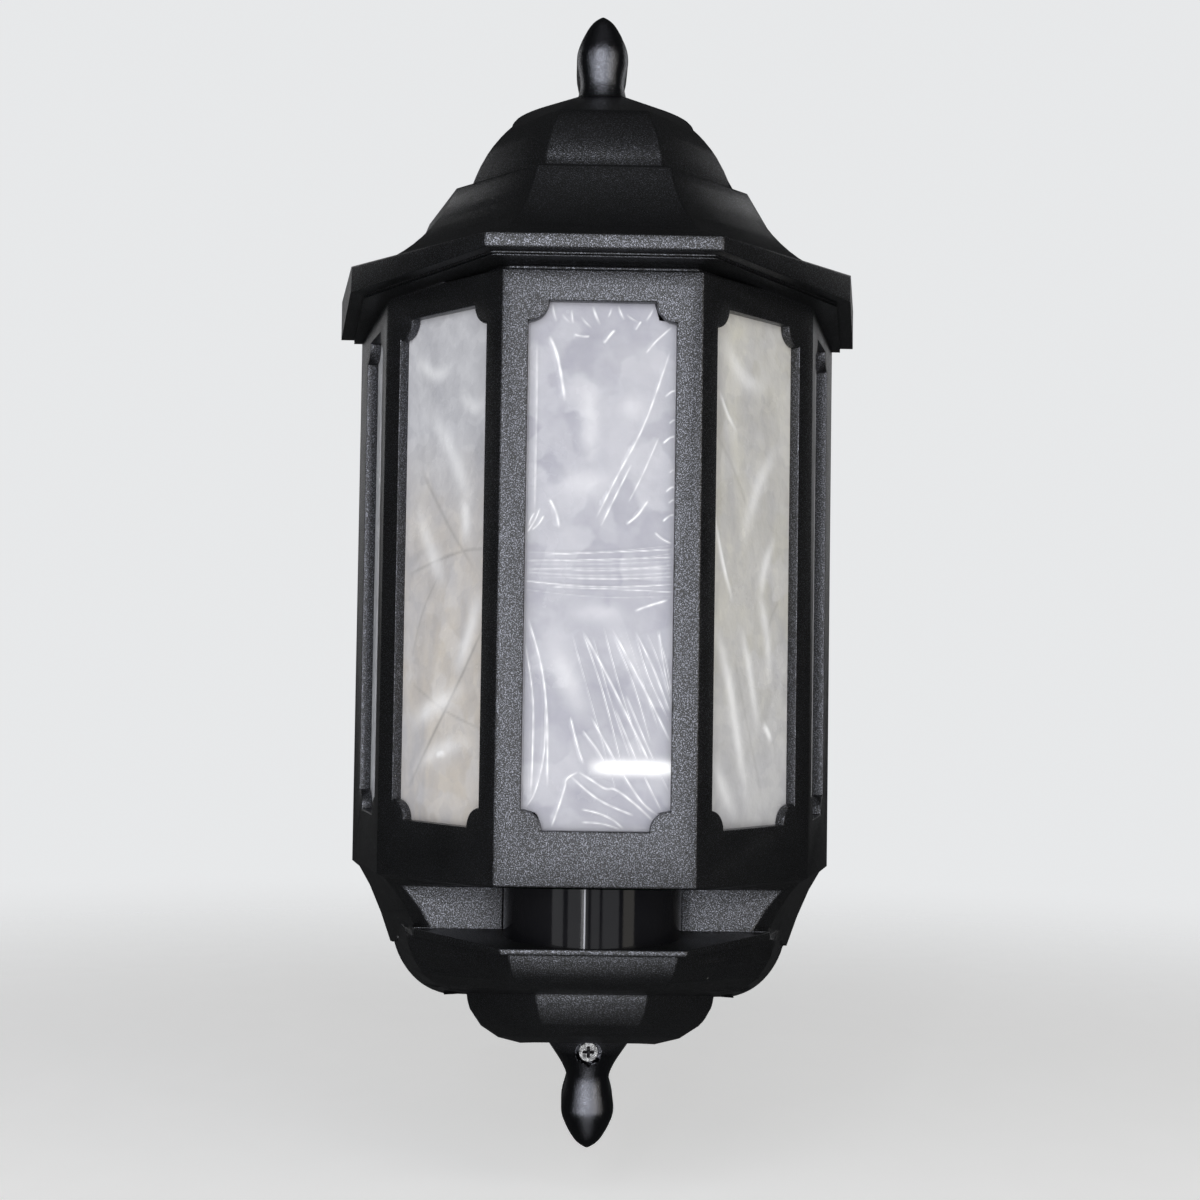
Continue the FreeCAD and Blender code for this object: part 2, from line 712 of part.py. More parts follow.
def lens_form(name, radius, foot, height):
    drum = cylinder(name + "_drum", radius, height, "0", f"-{LENS_CENTRE}", foot)
    neck_part = box(name + "_neck", f"2 * ({radius})",
                    f"Dims.lens_reach + {WALL} + Dims.lens_flange_thickness", height,
                    f"-({radius})", f"-{LENS_CENTRE}", foot)
    front_half = box(name + "_front", f"2 * {FAR}", FAR, height, f"-{FAR}", f"-{LENS_CENTRE} - {FAR}", foot)
    return fuse(name, [common(name + "_half", [drum, front_half]), neck_part])


lens_gap = doc.addObject("Part::Wedge", "lens_room")
bind(
    lens_gap,
    Xmin=f"-{FAR}", Xmax=FAR, X2min=f"-{FAR}", X2max=FAR,
    Ymin="-(Dims.facet_axis_depth + Dims.cage_reach)",
    Ymax=f"-{LENS_BACK} + Dims.lens_flange_thickness",
    Zmin=LEDGE_TOP,
    Zmax=f"{FOOT} - Dims.lens_roof_clearance",
    Z2min=f"{LEDGE_TOP} + (Dims.recess_depth + {WALL} + Dims.lens_flange_thickness)"
          " * tan(Dims.recess_floor_draft * 1 deg)",
    Z2max=f"{FOOT} - Dims.lens_roof_clearance - (Dims.recess_depth + {WALL} + Dims.lens_flange_thickness)"
          " * tan(Dims.recess_roof_draft * 1 deg)",
)
lens_outer = common("lens_outer", [lens_form("lens_outside", "Dims.lens_radius", LEDGE_TOP,
                                             "Dims.recess_height"), lens_gap])
lens_inner = lens_form("lens_inside", "Dims.lens_radius - Dims.lens_wall",
                       f"{LEDGE_TOP} - Dims.recess_height", "3 * Dims.recess_height")
RECESS_WALL_FOOT = f"({LEDGE_TOP} + Dims.recess_depth * tan(Dims.recess_floor_draft * 1 deg))"
RECESS_WALL_TOP = f"({FOOT} - Dims.recess_depth * tan(Dims.recess_roof_draft * 1 deg))"
lens_flange = box("lens_flange_plate", "2 * (Dims.lens_radius + Dims.lens_flange)",
                  "Dims.lens_flange_thickness",
                  f"{RECESS_WALL_TOP} - {RECESS_WALL_FOOT}",
                  "-(Dims.lens_radius + Dims.lens_flange)", f"-{LENS_BACK}", RECESS_WALL_FOOT)
sensor_lens = cut("sensor_lens", fuse("lens_blank", [lens_outer, lens_flange]), [lens_inner])

lens_aperture = box("lens_aperture", "2 * (Dims.lens_radius + Dims.lens_roof_clearance)", f"3 * {WALL}",
                    f"{RECESS_WALL_TOP} - {RECESS_WALL_FOOT}",
                    "-(Dims.lens_radius + Dims.lens_roof_clearance)", f"-{RECESS_BACK} - {WALL}",
                    RECESS_WALL_FOOT)

# Bosses behind the recess wall carry the circuit board
BOARD_LEVEL = f"({FOOT} - Dims.board_drop)"
BOARD_FRONT = f"({LENS_BACK} - Dims.board_boss_length)"
board_bosses = []
board_pilots = []
for hand, side in (("left", "-Dims.board_boss_side"), ("right", "Dims.board_boss_side")):
    board_bosses.append(cylinder(hand + "_board_boss", "Dims.board_boss_radius",
                                 f"Dims.board_boss_length + {WALL} / 2", side,
                                 f"-{BOARD_FRONT}", BOARD_LEVEL, FRONT))
    board_pilots.append(cylinder(hand + "_board_pilot",
                                 "Dims.screw_shank_radius + Dims.screw_fit_clearance",
                                 "Dims.board_boss_length", side, f"-{BOARD_FRONT}", BOARD_LEVEL, FRONT))

# Way for the fixing screw through the root of the lower finial, and a pocket for the plate's tongue
FIXING_LEVEL = f"({FOOT} - Dims.fixing_drop)"
fixing_well = cylinder("fixing_well", "Dims.fixing_well_radius", FAR, "0", "-Dims.fixing_seat_depth",
                       FIXING_LEVEL, FRONT)
fixing_way = cylinder("fixing_way", "Dims.fixing_shank_radius + Dims.fixing_hole_clearance",
                      "Dims.fixing_seat_depth", "0", "0", FIXING_LEVEL, FRONT)
boss_pocket = cylinder("boss_pocket", "Dims.boss_radius + Dims.plate_clearance",
                       "Dims.plate_thickness + Dims.boss_length + Dims.plate_clearance", "0", "0",
                       FIXING_LEVEL, FRONT)
tongue_pocket = box("tongue_pocket", "2 * (Dims.tongue_half + Dims.plate_clearance)",
                    "Dims.plate_thickness + Dims.plate_clearance",
                    "Dims.tongue_drop + Dims.plate_clearance - Dims.plate_foot_drop",
                    "-(Dims.tongue_half + Dims.plate_clearance)",
                    "-(Dims.plate_thickness + Dims.plate_clearance)",
                    f"{FOOT} - Dims.tongue_drop - Dims.plate_clearance")
GROOVE_FOOT = f"{FASCIA_FOOT} - Dims.lip_groove_height * 2"
GROOVE_TOP = f"{FASCIA_FOOT} - Dims.lip_groove_height"
groove_core = prism("groove_core", f"{GROOVE_FOOT} - {WALL}", f"{GROOVE_TOP} + {WALL}",
                    facet_plan("Dims.lip_reach - Dims.lip_groove_depth", EAVE_DRAFT), EAVE_FALL, EAVE_FALL)
groove_band = prism("groove_band", GROOVE_FOOT, GROOVE_TOP, facet_plan("Dims.fascia_reach", EAVE_DRAFT),
                    EAVE_FALL, EAVE_FALL)
lip_groove = cut("lip_groove", groove_band, [groove_core])
rim_relief = box("rim_relief", f"2 * {FAR}", FAR, f"2 * {FAR}", f"-{FAR}", "-Dims.rim_gap", f"-{FAR}")

roomy = cut("roomy_body", outer, hollows + [recess, lip_groove] + window_cuts)
hollowed = cut("hollowed_body", roomy, [lower_bowl_hollow])
bossed = fuse("bossed_body", [hollowed] + board_bosses)
lantern_body = cut("lantern_body", bossed, board_pilots + [lens_aperture, fixing_well, fixing_way,
                                                           boss_pocket, tongue_pocket, rim_relief])

# Body fixing screw, with a cross drive
screw_head = cylinder("fixing_head", "Dims.fixing_head_radius", "Dims.fixing_head_height", "0",
                      "-Dims.fixing_seat_depth", FIXING_LEVEL, FRONT)
screw_shank = cylinder("fixing_shank", "Dims.fixing_shank_radius",
                       "Dims.fixing_seat_depth - Dims.plate_thickness - Dims.plate_clearance", "0",
                       "-Dims.plate_thickness - Dims.plate_clearance", FIXING_LEVEL, FRONT)
DRIVE_FRONT = "-(Dims.fixing_seat_depth + Dims.fixing_head_height)"
drive_bars = [
    box("drive_across", "Dims.fixing_drive_length", "Dims.fixing_drive_depth", "Dims.fixing_drive_width",
        "-Dims.fixing_drive_length / 2", DRIVE_FRONT, f"{FIXING_LEVEL} - Dims.fixing_drive_width / 2"),
    box("drive_upright", "Dims.fixing_drive_width", "Dims.fixing_drive_depth", "Dims.fixing_drive_length",
        "-Dims.fixing_drive_width / 2", DRIVE_FRONT, f"{FIXING_LEVEL} - Dims.fixing_drive_length / 2"),
]
body_fixing_screw = cut("body_fixing_screw", fuse("fixing_blank", [screw_head, screw_shank]), drive_bars)


# Back plate: a shallow tray inside the lantern body's rim, with a tongue behind the lower finial
def plate_points(inset):
    """Right-hand outline of the tray from its head to its foot, seen from the front."""
    clearance = size("plate_clearance") + inset
    foot = size("foot_level")
    cage_half = corner_half + corner_depth * tan_deg("side_draft") - 2 * size("cage_wall") - clearance
    eave_level = foot + size("cage_height") - size("shell_wall") - clearance
    ledge_half = cage_half - (cage_reach - size("taper_reach"))
    head = eave_level + size("plate_head_height")
    return [
        (size("plate_head_half") - inset, head - inset),
        (cage_half, eave_level),
        (cage_half, foot + size("shell_wall") + clearance),
        (ledge_half, foot - size("recess_height") + clearance),
        (size("plate_foot_half") - inset, foot - size("plate_foot_drop") + inset),
    ]


def plate_slab(name, inset, start, end):
    right = plate_points(inset)
    outline = right + [(-x, z) for x, z in reversed(right)]
    points = [FreeCAD.Vector(x, -start, z) for x, z in outline]
    face = Part.Face(Part.makePolygon(points + points[:1]))
    return solid_from(name, face.extrude(FreeCAD.Vector(0, start - end, 0)))


PLATE_FRONT = "-Dims.plate_thickness"
PILOT_END = "Dims.pilot_depth - Dims.plate_thickness"
PILOT_RADIUS = "Dims.screw_shank_radius + Dims.screw_fit_clearance"
tray_depth = size("plate_thickness") + size("plate_rib_height")
tray = plate_slab("tray", 0, 0, tray_depth)
tray_room = plate_slab("tray_room", size("plate_rib_wall"), size("plate_thickness"), tray_depth)
tongue = box("tongue", "2 * Dims.tongue_half", "Dims.plate_thickness",
             "Dims.tongue_drop - Dims.plate_foot_drop + Dims.plate_rib_wall",
             "-Dims.tongue_half", "-Dims.plate_thickness", f"{FOOT} - Dims.tongue_drop")
boss = cylinder("boss", "Dims.boss_radius", "Dims.plate_thickness + Dims.boss_length", "0", "0",
                FIXING_LEVEL, FRONT)
boss_bore = cylinder("boss_bore", "Dims.fixing_shank_radius + Dims.fixing_thread_clearance",
                     "Dims.pilot_depth + Dims.boss_length", "0", PILOT_END, FIXING_LEVEL, FRONT)
wall_holes = [
    cylinder(name, "Dims.wall_fixing_radius", "Dims.plate_thickness", "0", "0", level, FRONT)
    for name, level in (("upper_wall_hole", "Dims.wall_fixing_spacing / 2"),
                        ("lower_wall_hole", "-Dims.wall_fixing_spacing / 2"))
]
cable_entry = cylinder("cable_entry", "Dims.cable_entry_radius", "Dims.plate_thickness",
                       "Dims.cable_entry_side", "0", "Dims.cable_entry_level", FRONT)

clamp_posts = []
clamp_pilots = []
for hand, sign in (("inner", "-1"), ("outer", "1")):
    side = f"Dims.cable_entry_side + {sign} * (Dims.clamp_length / 2 - Dims.clamp_post_radius)"
    clamp_posts.append(cylinder(hand + "_clamp_post", "Dims.clamp_post_radius",
                                "Dims.plate_thickness + Dims.clamp_post_height", side, "0",
                                "Dims.clamp_level", FRONT))
    clamp_pilots.append(cylinder(hand + "_clamp_pilot", PILOT_RADIUS, "Dims.clamp_post_height", side,
                                 PLATE_FRONT, "Dims.clamp_level", FRONT))

BRACKET_LEVEL = f"({FOOT} + Dims.bracket_level)"
BRACKET_SCREW_LEVEL = f"({BRACKET_LEVEL} + Dims.bracket_leg * 2 / 3)"
bracket_sides = (("left", "-Dims.bracket_screw_offset"), ("right", "Dims.bracket_screw_offset"))
bracket_pilots = [
    cylinder(hand + "_bracket_pilot", PILOT_RADIUS, "Dims.pilot_depth", side, PILOT_END,
             BRACKET_SCREW_LEVEL, FRONT)
    for hand, side in bracket_sides
]
terminal_pilot = cylinder("terminal_pilot", PILOT_RADIUS, "Dims.pilot_depth", "Dims.terminal_side",
                          PILOT_END, "Dims.terminal_level", FRONT)
plate_blank = fuse("plate_blank", [cut("tray_shell", tray, [tray_room]), tongue, boss] + clamp_posts)
back_plate = cut("back_plate", plate_blank, wall_holes + bracket_pilots + clamp_pilots
                 + [boss_bore, cable_entry, terminal_pilot])

# Grommet in the cable entry
grommet = fuse("grommet_blank", [
    cylinder("grommet_plug", "Dims.cable_entry_radius - Dims.screw_fit_clearance", "Dims.plate_thickness",
             "Dims.cable_entry_side", "0", "Dims.cable_entry_level", FRONT),
    cylinder("grommet_rim", "Dims.cable_entry_radius + Dims.grommet_flange",
             "Dims.grommet_flange_thickness", "Dims.cable_entry_side", PLATE_FRONT,
             "Dims.cable_entry_level", FRONT),
])
grommet_bore = cylinder("grommet_bore", "Dims.grommet_bore_radius", FAR, "Dims.cable_entry_side", "0",
                        "Dims.cable_entry_level", FRONT)
cable_grommet = cut("cable_grommet", grommet, [grommet_bore])


# Pan-head screws: the head stands on its seat and the shank goes into the pilot hole
def pan_screws(name, seats):
    screws = []
    for index, (x, seat, z, length) in enumerate(seats):
        head = cylinder(f"{name}_head_{index}", "Dims.screw_head_radius", "Dims.screw_head_height", x,
                        f"-({seat})", z, FRONT)
        shank = cylinder(f"{name}_shank_{index}", "Dims.screw_shank_radius", length, x,
                         f"-({seat}) + ({length})", z, FRONT)
        screws.append(fuse(f"{name}_{index}", [head, shank]))
    group = doc.addObject("Part::Compound", name)
    group.Links = screws
    return group


# Cable clamp across the two posts
CLAMP_SEAT = "(Dims.plate_thickness + Dims.clamp_post_height)"
clamp_bar = box("clamp_bar", "Dims.clamp_length", "Dims.clamp_depth", "Dims.clamp_height",
                "Dims.cable_entry_side - Dims.clamp_length / 2", f"-{CLAMP_SEAT} - Dims.clamp_depth",
                "Dims.clamp_level - Dims.clamp_height / 2")
clamp_holes = []
clamp_seats = []
for hand, sign in (("inner", "-1"), ("outer", "1")):
    side = f"Dims.cable_entry_side + {sign} * (Dims.clamp_length / 2 - Dims.clamp_post_radius)"
    clamp_holes.append(cylinder(hand + "_clamp_hole", PILOT_RADIUS, "Dims.clamp_depth", side,
                                f"-{CLAMP_SEAT}", "Dims.clamp_level", FRONT))
    clamp_seats.append((side, f"{CLAMP_SEAT} + Dims.clamp_depth", "Dims.clamp_level", "Dims.screw_length"))
cable_clamp = cut("cable_clamp", clamp_bar, clamp_holes)
clamp_screws = pan_screws("clamp_screws", clamp_seats)

# Folded steel bracket and the lampholder on its shelf
shelf = box("shelf", "Dims.bracket_width", "Dims.bracket_length", "Dims.bracket_thickness",
            "-Dims.bracket_width / 2", "-Dims.plate_thickness - Dims.bracket_length",
            f"{BRACKET_LEVEL} - Dims.bracket_thickness")
leg = box("leg", "Dims.bracket_width", "Dims.bracket_thickness", "Dims.bracket_leg",
          "-Dims.bracket_width / 2", "-Dims.plate_thickness - Dims.bracket_thickness",
          f"{BRACKET_LEVEL} - Dims.bracket_thickness")
leg_holes = [
    cylinder(hand + "_leg_hole", PILOT_RADIUS, "Dims.bracket_thickness", side, PLATE_FRONT,
             BRACKET_SCREW_LEVEL, FRONT)
    for hand, side in bracket_sides
]
lampholder_bracket = cut("lampholder_bracket", fuse("bracket_blank", [shelf, leg]), leg_holes)
LEG_FRONT = "Dims.plate_thickness + Dims.bracket_thickness"
bracket_screws = pan_screws("bracket_screws", [
    (side, LEG_FRONT, BRACKET_SCREW_LEVEL, "Dims.pilot_depth + Dims.bracket_thickness")
    for hand, side in bracket_sides
])

LAMP_Y = "-Dims.lamp_axis_depth"
holder_shell = cylinder("holder_shell", "Dims.holder_radius", "Dims.holder_height", "0", LAMP_Y,
                        BRACKET_LEVEL)
holder_bore = cylinder("holder_bore", "Dims.holder_bore_radius", "Dims.holder_height", "0", LAMP_Y,
                       f"{BRACKET_LEVEL} + Dims.holder_floor")
lampholder = cut("lampholder", holder_shell, [holder_bore])
ring_level = f"{BRACKET_LEVEL} + Dims.holder_height - Dims.holder_ring_drop - Dims.holder_ring_height"
shade_ring = cut("lampholder_ring", cylinder("ring_blank", "Dims.holder_ring_radius",
                                             "Dims.holder_ring_height", "0", LAMP_Y, ring_level),
                 [cylinder("ring_bore", "Dims.holder_radius + Dims.screw_fit_clearance",
                           "Dims.holder_ring_height", "0", LAMP_Y, ring_level)])


# Tubular lamp with a tapered end
LAMP_FOOT = f"({BRACKET_LEVEL} + Dims.holder_floor + Dims.lamp_cap_gap)"
LAMP_SHOULDER = f"({LAMP_FOOT} + Dims.lamp_cap_length)"
lamp_end = doc.addObject("Part::Cone", "lamp_end")
bind(lamp_end, Radius1="Dims.lamp_tube_radius", Radius2="Dims.lamp_end_radius",
     Height="Dims.lamp_end_height")
place(lamp_end, "0", LAMP_Y, f"{LAMP_SHOULDER} + Dims.lamp_tube_length")
lamp = fuse("lamp", [
    cylinder("lamp_cap", "Dims.lamp_cap_radius", "Dims.lamp_cap_length", "0", LAMP_Y, LAMP_FOOT),
    cylinder("lamp_tube", "Dims.lamp_tube_radius", "Dims.lamp_tube_length", "0", LAMP_Y, LAMP_SHOULDER),
    lamp_end,
])

# Terminal block beside the bracket
TERMINAL_LEFT = "(Dims.terminal_side - Dims.terminal_length / 2)"
terminal_blank = box("terminal_blank", "Dims.terminal_length", "Dims.terminal_depth",
                     "Dims.terminal_height", TERMINAL_LEFT, f"{PLATE_FRONT} - Dims.terminal_depth",
                     "Dims.terminal_level - Dims.terminal_height / 2")
terminal_cuts = []
terminal_seats = []
TERMINAL_FRONT = "(Dims.plate_thickness + Dims.terminal_depth)"
for index in (-1, 1):
    side = f"Dims.terminal_side + {index} * Dims.terminal_pitch"
    terminal_cuts.append(cylinder(f"terminal_bore_{index + 1}", "Dims.terminal_bore_radius",
                                  "Dims.terminal_height", side,
                                  f"-{TERMINAL_FRONT} + Dims.terminal_depth * 2 / 3",
                                  "Dims.terminal_level - Dims.terminal_height / 2"))
    for row, sign in (("upper", "1"), ("lower", "-1")):
        level = f"Dims.terminal_level + {sign} * Dims.terminal_height / 4"
        terminal_cuts.append(cylinder(f"terminal_well_{row}_{index + 1}",
                                      "Dims.terminal_screw_radius + Dims.screw_fit_clearance",
                                      "Dims.terminal_depth * 2 / 3", side,
                                      f"-{TERMINAL_FRONT} + Dims.terminal_depth * 2 / 3", level, FRONT))
        terminal_seats.append((side, level))
terminal_cuts.append(cylinder("terminal_through", PILOT_RADIUS, "Dims.terminal_depth",
                              "Dims.terminal_side", PLATE_FRONT, "Dims.terminal_level", FRONT))
terminal_block = cut("terminal_block", terminal_blank, terminal_cuts)
terminal_screws = doc.addObject("Part::Compound", "terminal_screws")
terminal_screws.Links = [
    cylinder(f"terminal_screw_{index}", "Dims.terminal_screw_radius",
             "Dims.terminal_depth / 3", side,
             f"-{TERMINAL_FRONT} + Dims.terminal_screw_sink + Dims.terminal_depth / 3", level, FRONT)
    for index, (side, level) in enumerate(terminal_seats)
]
terminal_block_screw = pan_screws("terminal_block_screw", [
    ("Dims.terminal_side", TERMINAL_FRONT, "Dims.terminal_level",
     "Dims.terminal_depth + Dims.pilot_depth"),
])

# Circuit board and what is soldered to it
BOARD_BACK = f"({BOARD_FRONT} - Dims.board_thickness)"
board_blank = box("board_blank", "Dims.board_width", "Dims.board_thickness", "Dims.board_height",
                  "-Dims.board_width / 2", f"-{BOARD_FRONT}",
                  f"{BOARD_LEVEL} - Dims.board_height / 2")
board_holes = []
for hand, side in (("left", "-Dims.board_boss_side"), ("right", "Dims.board_boss_side")):
    board_holes.append(cylinder(hand + "_board_hole", PILOT_RADIUS, "Dims.board_thickness", side,
                                f"-{BOARD_BACK}", BOARD_LEVEL, FRONT))
circuit_board = cut("circuit_board", board_blank, board_holes)
board_screw_group = []
for hand, side in (("left", "-Dims.board_boss_side"), ("right", "Dims.board_boss_side")):
    head = cylinder(hand + "_board_screw_head", "Dims.screw_head_radius", "Dims.screw_head_height", side,
                    f"-{BOARD_BACK} + Dims.screw_head_height", BOARD_LEVEL, FRONT)
    shank = cylinder(hand + "_board_screw_shank", "Dims.screw_shank_radius", "Dims.screw_length", side,
                     f"-{BOARD_BACK}", BOARD_LEVEL, FRONT)
    board_screw_group.append(fuse(hand + "_board_screw", [head, shank]))
board_screws = doc.addObject("Part::Compound", "board_screws")
board_screws.Links = board_screw_group

detector = cylinder("detector", "Dims.detector_radius", "Dims.detector_height", "0", f"-{BOARD_FRONT}",
                    BOARD_LEVEL, FRONT)


def on_board(name, side, level, width, depth, height):
    return box(name, width, depth, height, f"{side} - ({width}) / 2", f"-{BOARD_BACK}",
               f"{level} - ({height}) / 2")


ROW_LEVEL = f"({BOARD_LEVEL} + Dims.part_row_offset)"
TRIMMER_LEVEL = f"({BOARD_LEVEL} - Dims.trimmer_row_drop)"
relay = on_board("relay", "Dims.relay_side", ROW_LEVEL, "Dims.relay_width", "Dims.relay_depth",
                 "Dims.relay_height")
capacitor = cylinder("capacitor", "Dims.capacitor_radius", "Dims.capacitor_length", "Dims.capacitor_side",
                     f"-{BOARD_BACK} + Dims.capacitor_length", ROW_LEVEL, FRONT)
board_connector = on_board("board_connector", "Dims.connector_side", ROW_LEVEL, "Dims.connector_width",
                           "Dims.connector_depth", "Dims.connector_height")

TRIMMER_BACK = f"({BOARD_BACK} - Dims.trimmer_depth)"
trimmers = []
for use, sign in (("time", "-1"), ("lux", "1")):
    side = f"({sign} * Dims.trimmer_side)"
    base = on_board(use + "_trimmer_blank", side, TRIMMER_LEVEL, "Dims.trimmer_size", "Dims.trimmer_depth",
                    "Dims.trimmer_size")
    socket = cylinder(use + "_trimmer_socket", "Dims.knob_stem_radius + Dims.knob_stem_clearance",
                      "Dims.trimmer_depth", side, f"-{TRIMMER_BACK}", TRIMMER_LEVEL, FRONT)
    trimmers.append(cut(use + "_trimmer", base, [socket]))
    stem = cylinder(use + "_knob_stem", "Dims.knob_stem_radius", "Dims.trimmer_depth * 3 / 4", side,
                    f"-{TRIMMER_BACK} + Dims.knob_lift", TRIMMER_LEVEL, FRONT)
    head = cylinder(use + "_knob_head", "Dims.knob_radius", "Dims.knob_height", side,
                    f"-{TRIMMER_BACK} + Dims.knob_lift + Dims.knob_height", TRIMMER_LEVEL, FRONT)
    slot = box(use + "_knob_slot", "3 * Dims.knob_radius", "Dims.knob_slot_depth", "Dims.knob_slot_width",
               f"{side} - Dims.knob_radius * 3 / 2",
               f"-{TRIMMER_BACK} + Dims.knob_lift + Dims.knob_height - Dims.knob_slot_depth",
               f"{TRIMMER_LEVEL} - Dims.knob_slot_width / 2")
    trimmers.append(cut(use + "_knob", fuse(use + "_knob_blank", [head, stem]), [slot]))

SUBPARTS = [
    lantern_body, *panes, sensor_lens, body_fixing_screw, back_plate, cable_grommet, cable_clamp,
    clamp_screws, lampholder_bracket, bracket_screws, lampholder, shade_ring, lamp, terminal_block,
    terminal_screws, terminal_block_screw, circuit_board, board_screws, detector, relay, capacitor,
    board_connector, *trimmers,
]

doc.recompute()

for item in doc.Objects:
    if "Invalid" in item.State or "Error" in item.State:
        raise RuntimeError(f"{item.Name} failed: {item.State}")
for item in SUBPARTS:
    if item.Shape.isNull() or not item.Shape.isValid() or not item.Shape.Solids:
        raise RuntimeError(f"{item.Label} has no sound solid")

os.makedirs("parts", exist_ok=True)
for item in SUBPARTS:
    item.Shape.exportStep(f"parts/{item.Label}.step")
    print(item.Label, len(item.Shape.Solids), "solid(s)", round(item.Shape.Volume), "mm3")
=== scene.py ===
# %% [markdown]
# # A half lantern for the wall
# The solids come packed with their sizes, so this lesson only dresses them: it rounds the edges of the
# black moulding, gives the five panes their crinkled film, and makes each finish out of nodes. Nothing
# here changes a size.

import json
import math

import bmesh
import bpy
import numpy as np
from mathutils import Matrix, Vector
from mathutils.kdtree import KDTree


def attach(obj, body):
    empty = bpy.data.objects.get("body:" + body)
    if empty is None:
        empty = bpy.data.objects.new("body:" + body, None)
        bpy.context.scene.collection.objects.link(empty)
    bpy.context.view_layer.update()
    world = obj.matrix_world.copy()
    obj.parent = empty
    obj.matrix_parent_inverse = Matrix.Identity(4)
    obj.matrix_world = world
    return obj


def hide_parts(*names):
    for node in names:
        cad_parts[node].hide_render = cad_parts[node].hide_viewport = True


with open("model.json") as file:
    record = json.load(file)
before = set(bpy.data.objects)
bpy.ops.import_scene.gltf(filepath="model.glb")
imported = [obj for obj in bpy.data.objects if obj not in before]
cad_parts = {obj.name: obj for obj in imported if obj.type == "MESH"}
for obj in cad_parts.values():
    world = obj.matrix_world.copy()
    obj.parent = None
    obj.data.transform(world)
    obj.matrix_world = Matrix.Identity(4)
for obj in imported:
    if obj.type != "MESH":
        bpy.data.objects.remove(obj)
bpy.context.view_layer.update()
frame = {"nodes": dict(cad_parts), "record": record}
nodes = frame["nodes"]

# %% [markdown]
# The camera stands a little left of the middle and low, and looks slightly up, as the photographer did.
# Its turn is built from three small angles, so each can be matched to the photograph on its own.

# %% Camera
MM = 0.001
CAMERA_AT = Vector((-9.0, -631.5, -31.5)) * MM
CAMERA_YAW = math.radians(1.0)
CAMERA_PITCH = math.radians(2.18)
CAMERA_ROLL = math.radians(0.84)
SENSOR_WIDTH = 36
FOCAL_PIXELS = 1921.7
PHOTO_PIXELS = 1200

camera_data = bpy.data.cameras.new("photo_camera")
camera_data.sensor_width = SENSOR_WIDTH
camera_data.lens = SENSOR_WIDTH * FOCAL_PIXELS / PHOTO_PIXELS
camera_data.clip_start = 0.01
camera = bpy.data.objects.new("photo_camera", camera_data)
bpy.context.scene.collection.objects.link(camera)
turn = (Matrix.Rotation(-CAMERA_YAW, 4, "Z") @ Matrix.Rotation(math.pi / 2 + CAMERA_PITCH, 4, "X")
        @ Matrix.Rotation(CAMERA_ROLL, 4, "Z"))
camera.matrix_world = Matrix.Translation(CAMERA_AT) @ turn
bpy.context.scene.camera = camera
bpy.context.scene.view_settings.view_transform = "Standard"
print("camera lens:", round(camera_data.lens, 1), "mm")

# %% [markdown]
# A studio for a black object shows what the object mirrors. Three upright soft panels stand round the
# camera, so the facets that face it go grey and the sensor's lens shows three upright bands, while the
# diagonal facets mirror the dim sides and stay black. A bright strip among them draws the highlights on
# the finials and the lens. Two panels further round light the diagonal panes. A high one and a low one
# show in the curved front facets of the dome and the bowls, and three more, above and behind, draw the
# roof and the back.

# %% Light
def soft_light(name, place, target, width, height, power, colour=(1, 1, 1)):
    data = bpy.data.lights.new(name, "AREA")
    data.shape = "RECTANGLE"
    data.size = width
    data.size_y = height
    data.energy = power
    data.color = colour
    lamp = bpy.data.objects.new(name, data)
    bpy.context.scene.collection.objects.link(lamp)
    place = Vector(place)
    lamp.location = place
    lamp.rotation_euler = (Vector(target) - place).to_track_quat("-Z", "Y").to_euler()
    lamp.visible_camera = False


COOL = (0.96, 0.97, 1.0)
WARM = (1.0, 0.95, 0.86)
MIDDLE = (0, -0.09, 0)
DIM_ROOM = 0.035

soft_light("front_left_panel", (-0.36, -1.1, 0.05), MIDDLE, 0.5, 1.3, 4.6, COOL)
soft_light("front_middle_panel", (0.05, -1.12, 0.05), MIDDLE, 0.2, 1.3, 1.9, COOL)
soft_light("front_right_panel", (0.42, -1.1, 0.05), MIDDLE, 0.42, 1.3, 3.9, COOL)
soft_light("bright_strip", (-0.25, -1.12, 0.1), MIDDLE, 0.05, 1.0, 1.9, COOL)
soft_light("left_panel", (-0.8, -0.85, 0.1), MIDDLE, 0.3, 1.0, 2.4, COOL)
soft_light("right_panel", (0.8, -0.85, 0.1), MIDDLE, 0.3, 1.0, 2.7, WARM)
soft_light("high_panel", (0, -0.92, 0.66), MIDDLE, 0.5, 0.25, 0.8, COOL)
soft_light("low_panel", (0, -0.53, -0.65), (0, -0.08, -0.12), 0.35, 0.58, 0.5)
soft_light("top_panel", (0, -0.3, 1.1), (0, -0.05, 0), 0.8, 0.4, 0.15)
soft_light("rear_left_panel", (-0.9, 1.0, 0.45), (0, 0, 0), 0.5, 0.8, 1.3)
soft_light("rear_right_panel", (0.9, 1.0, 0.45), (0, 0, 0), 0.5, 0.8, 1.3)

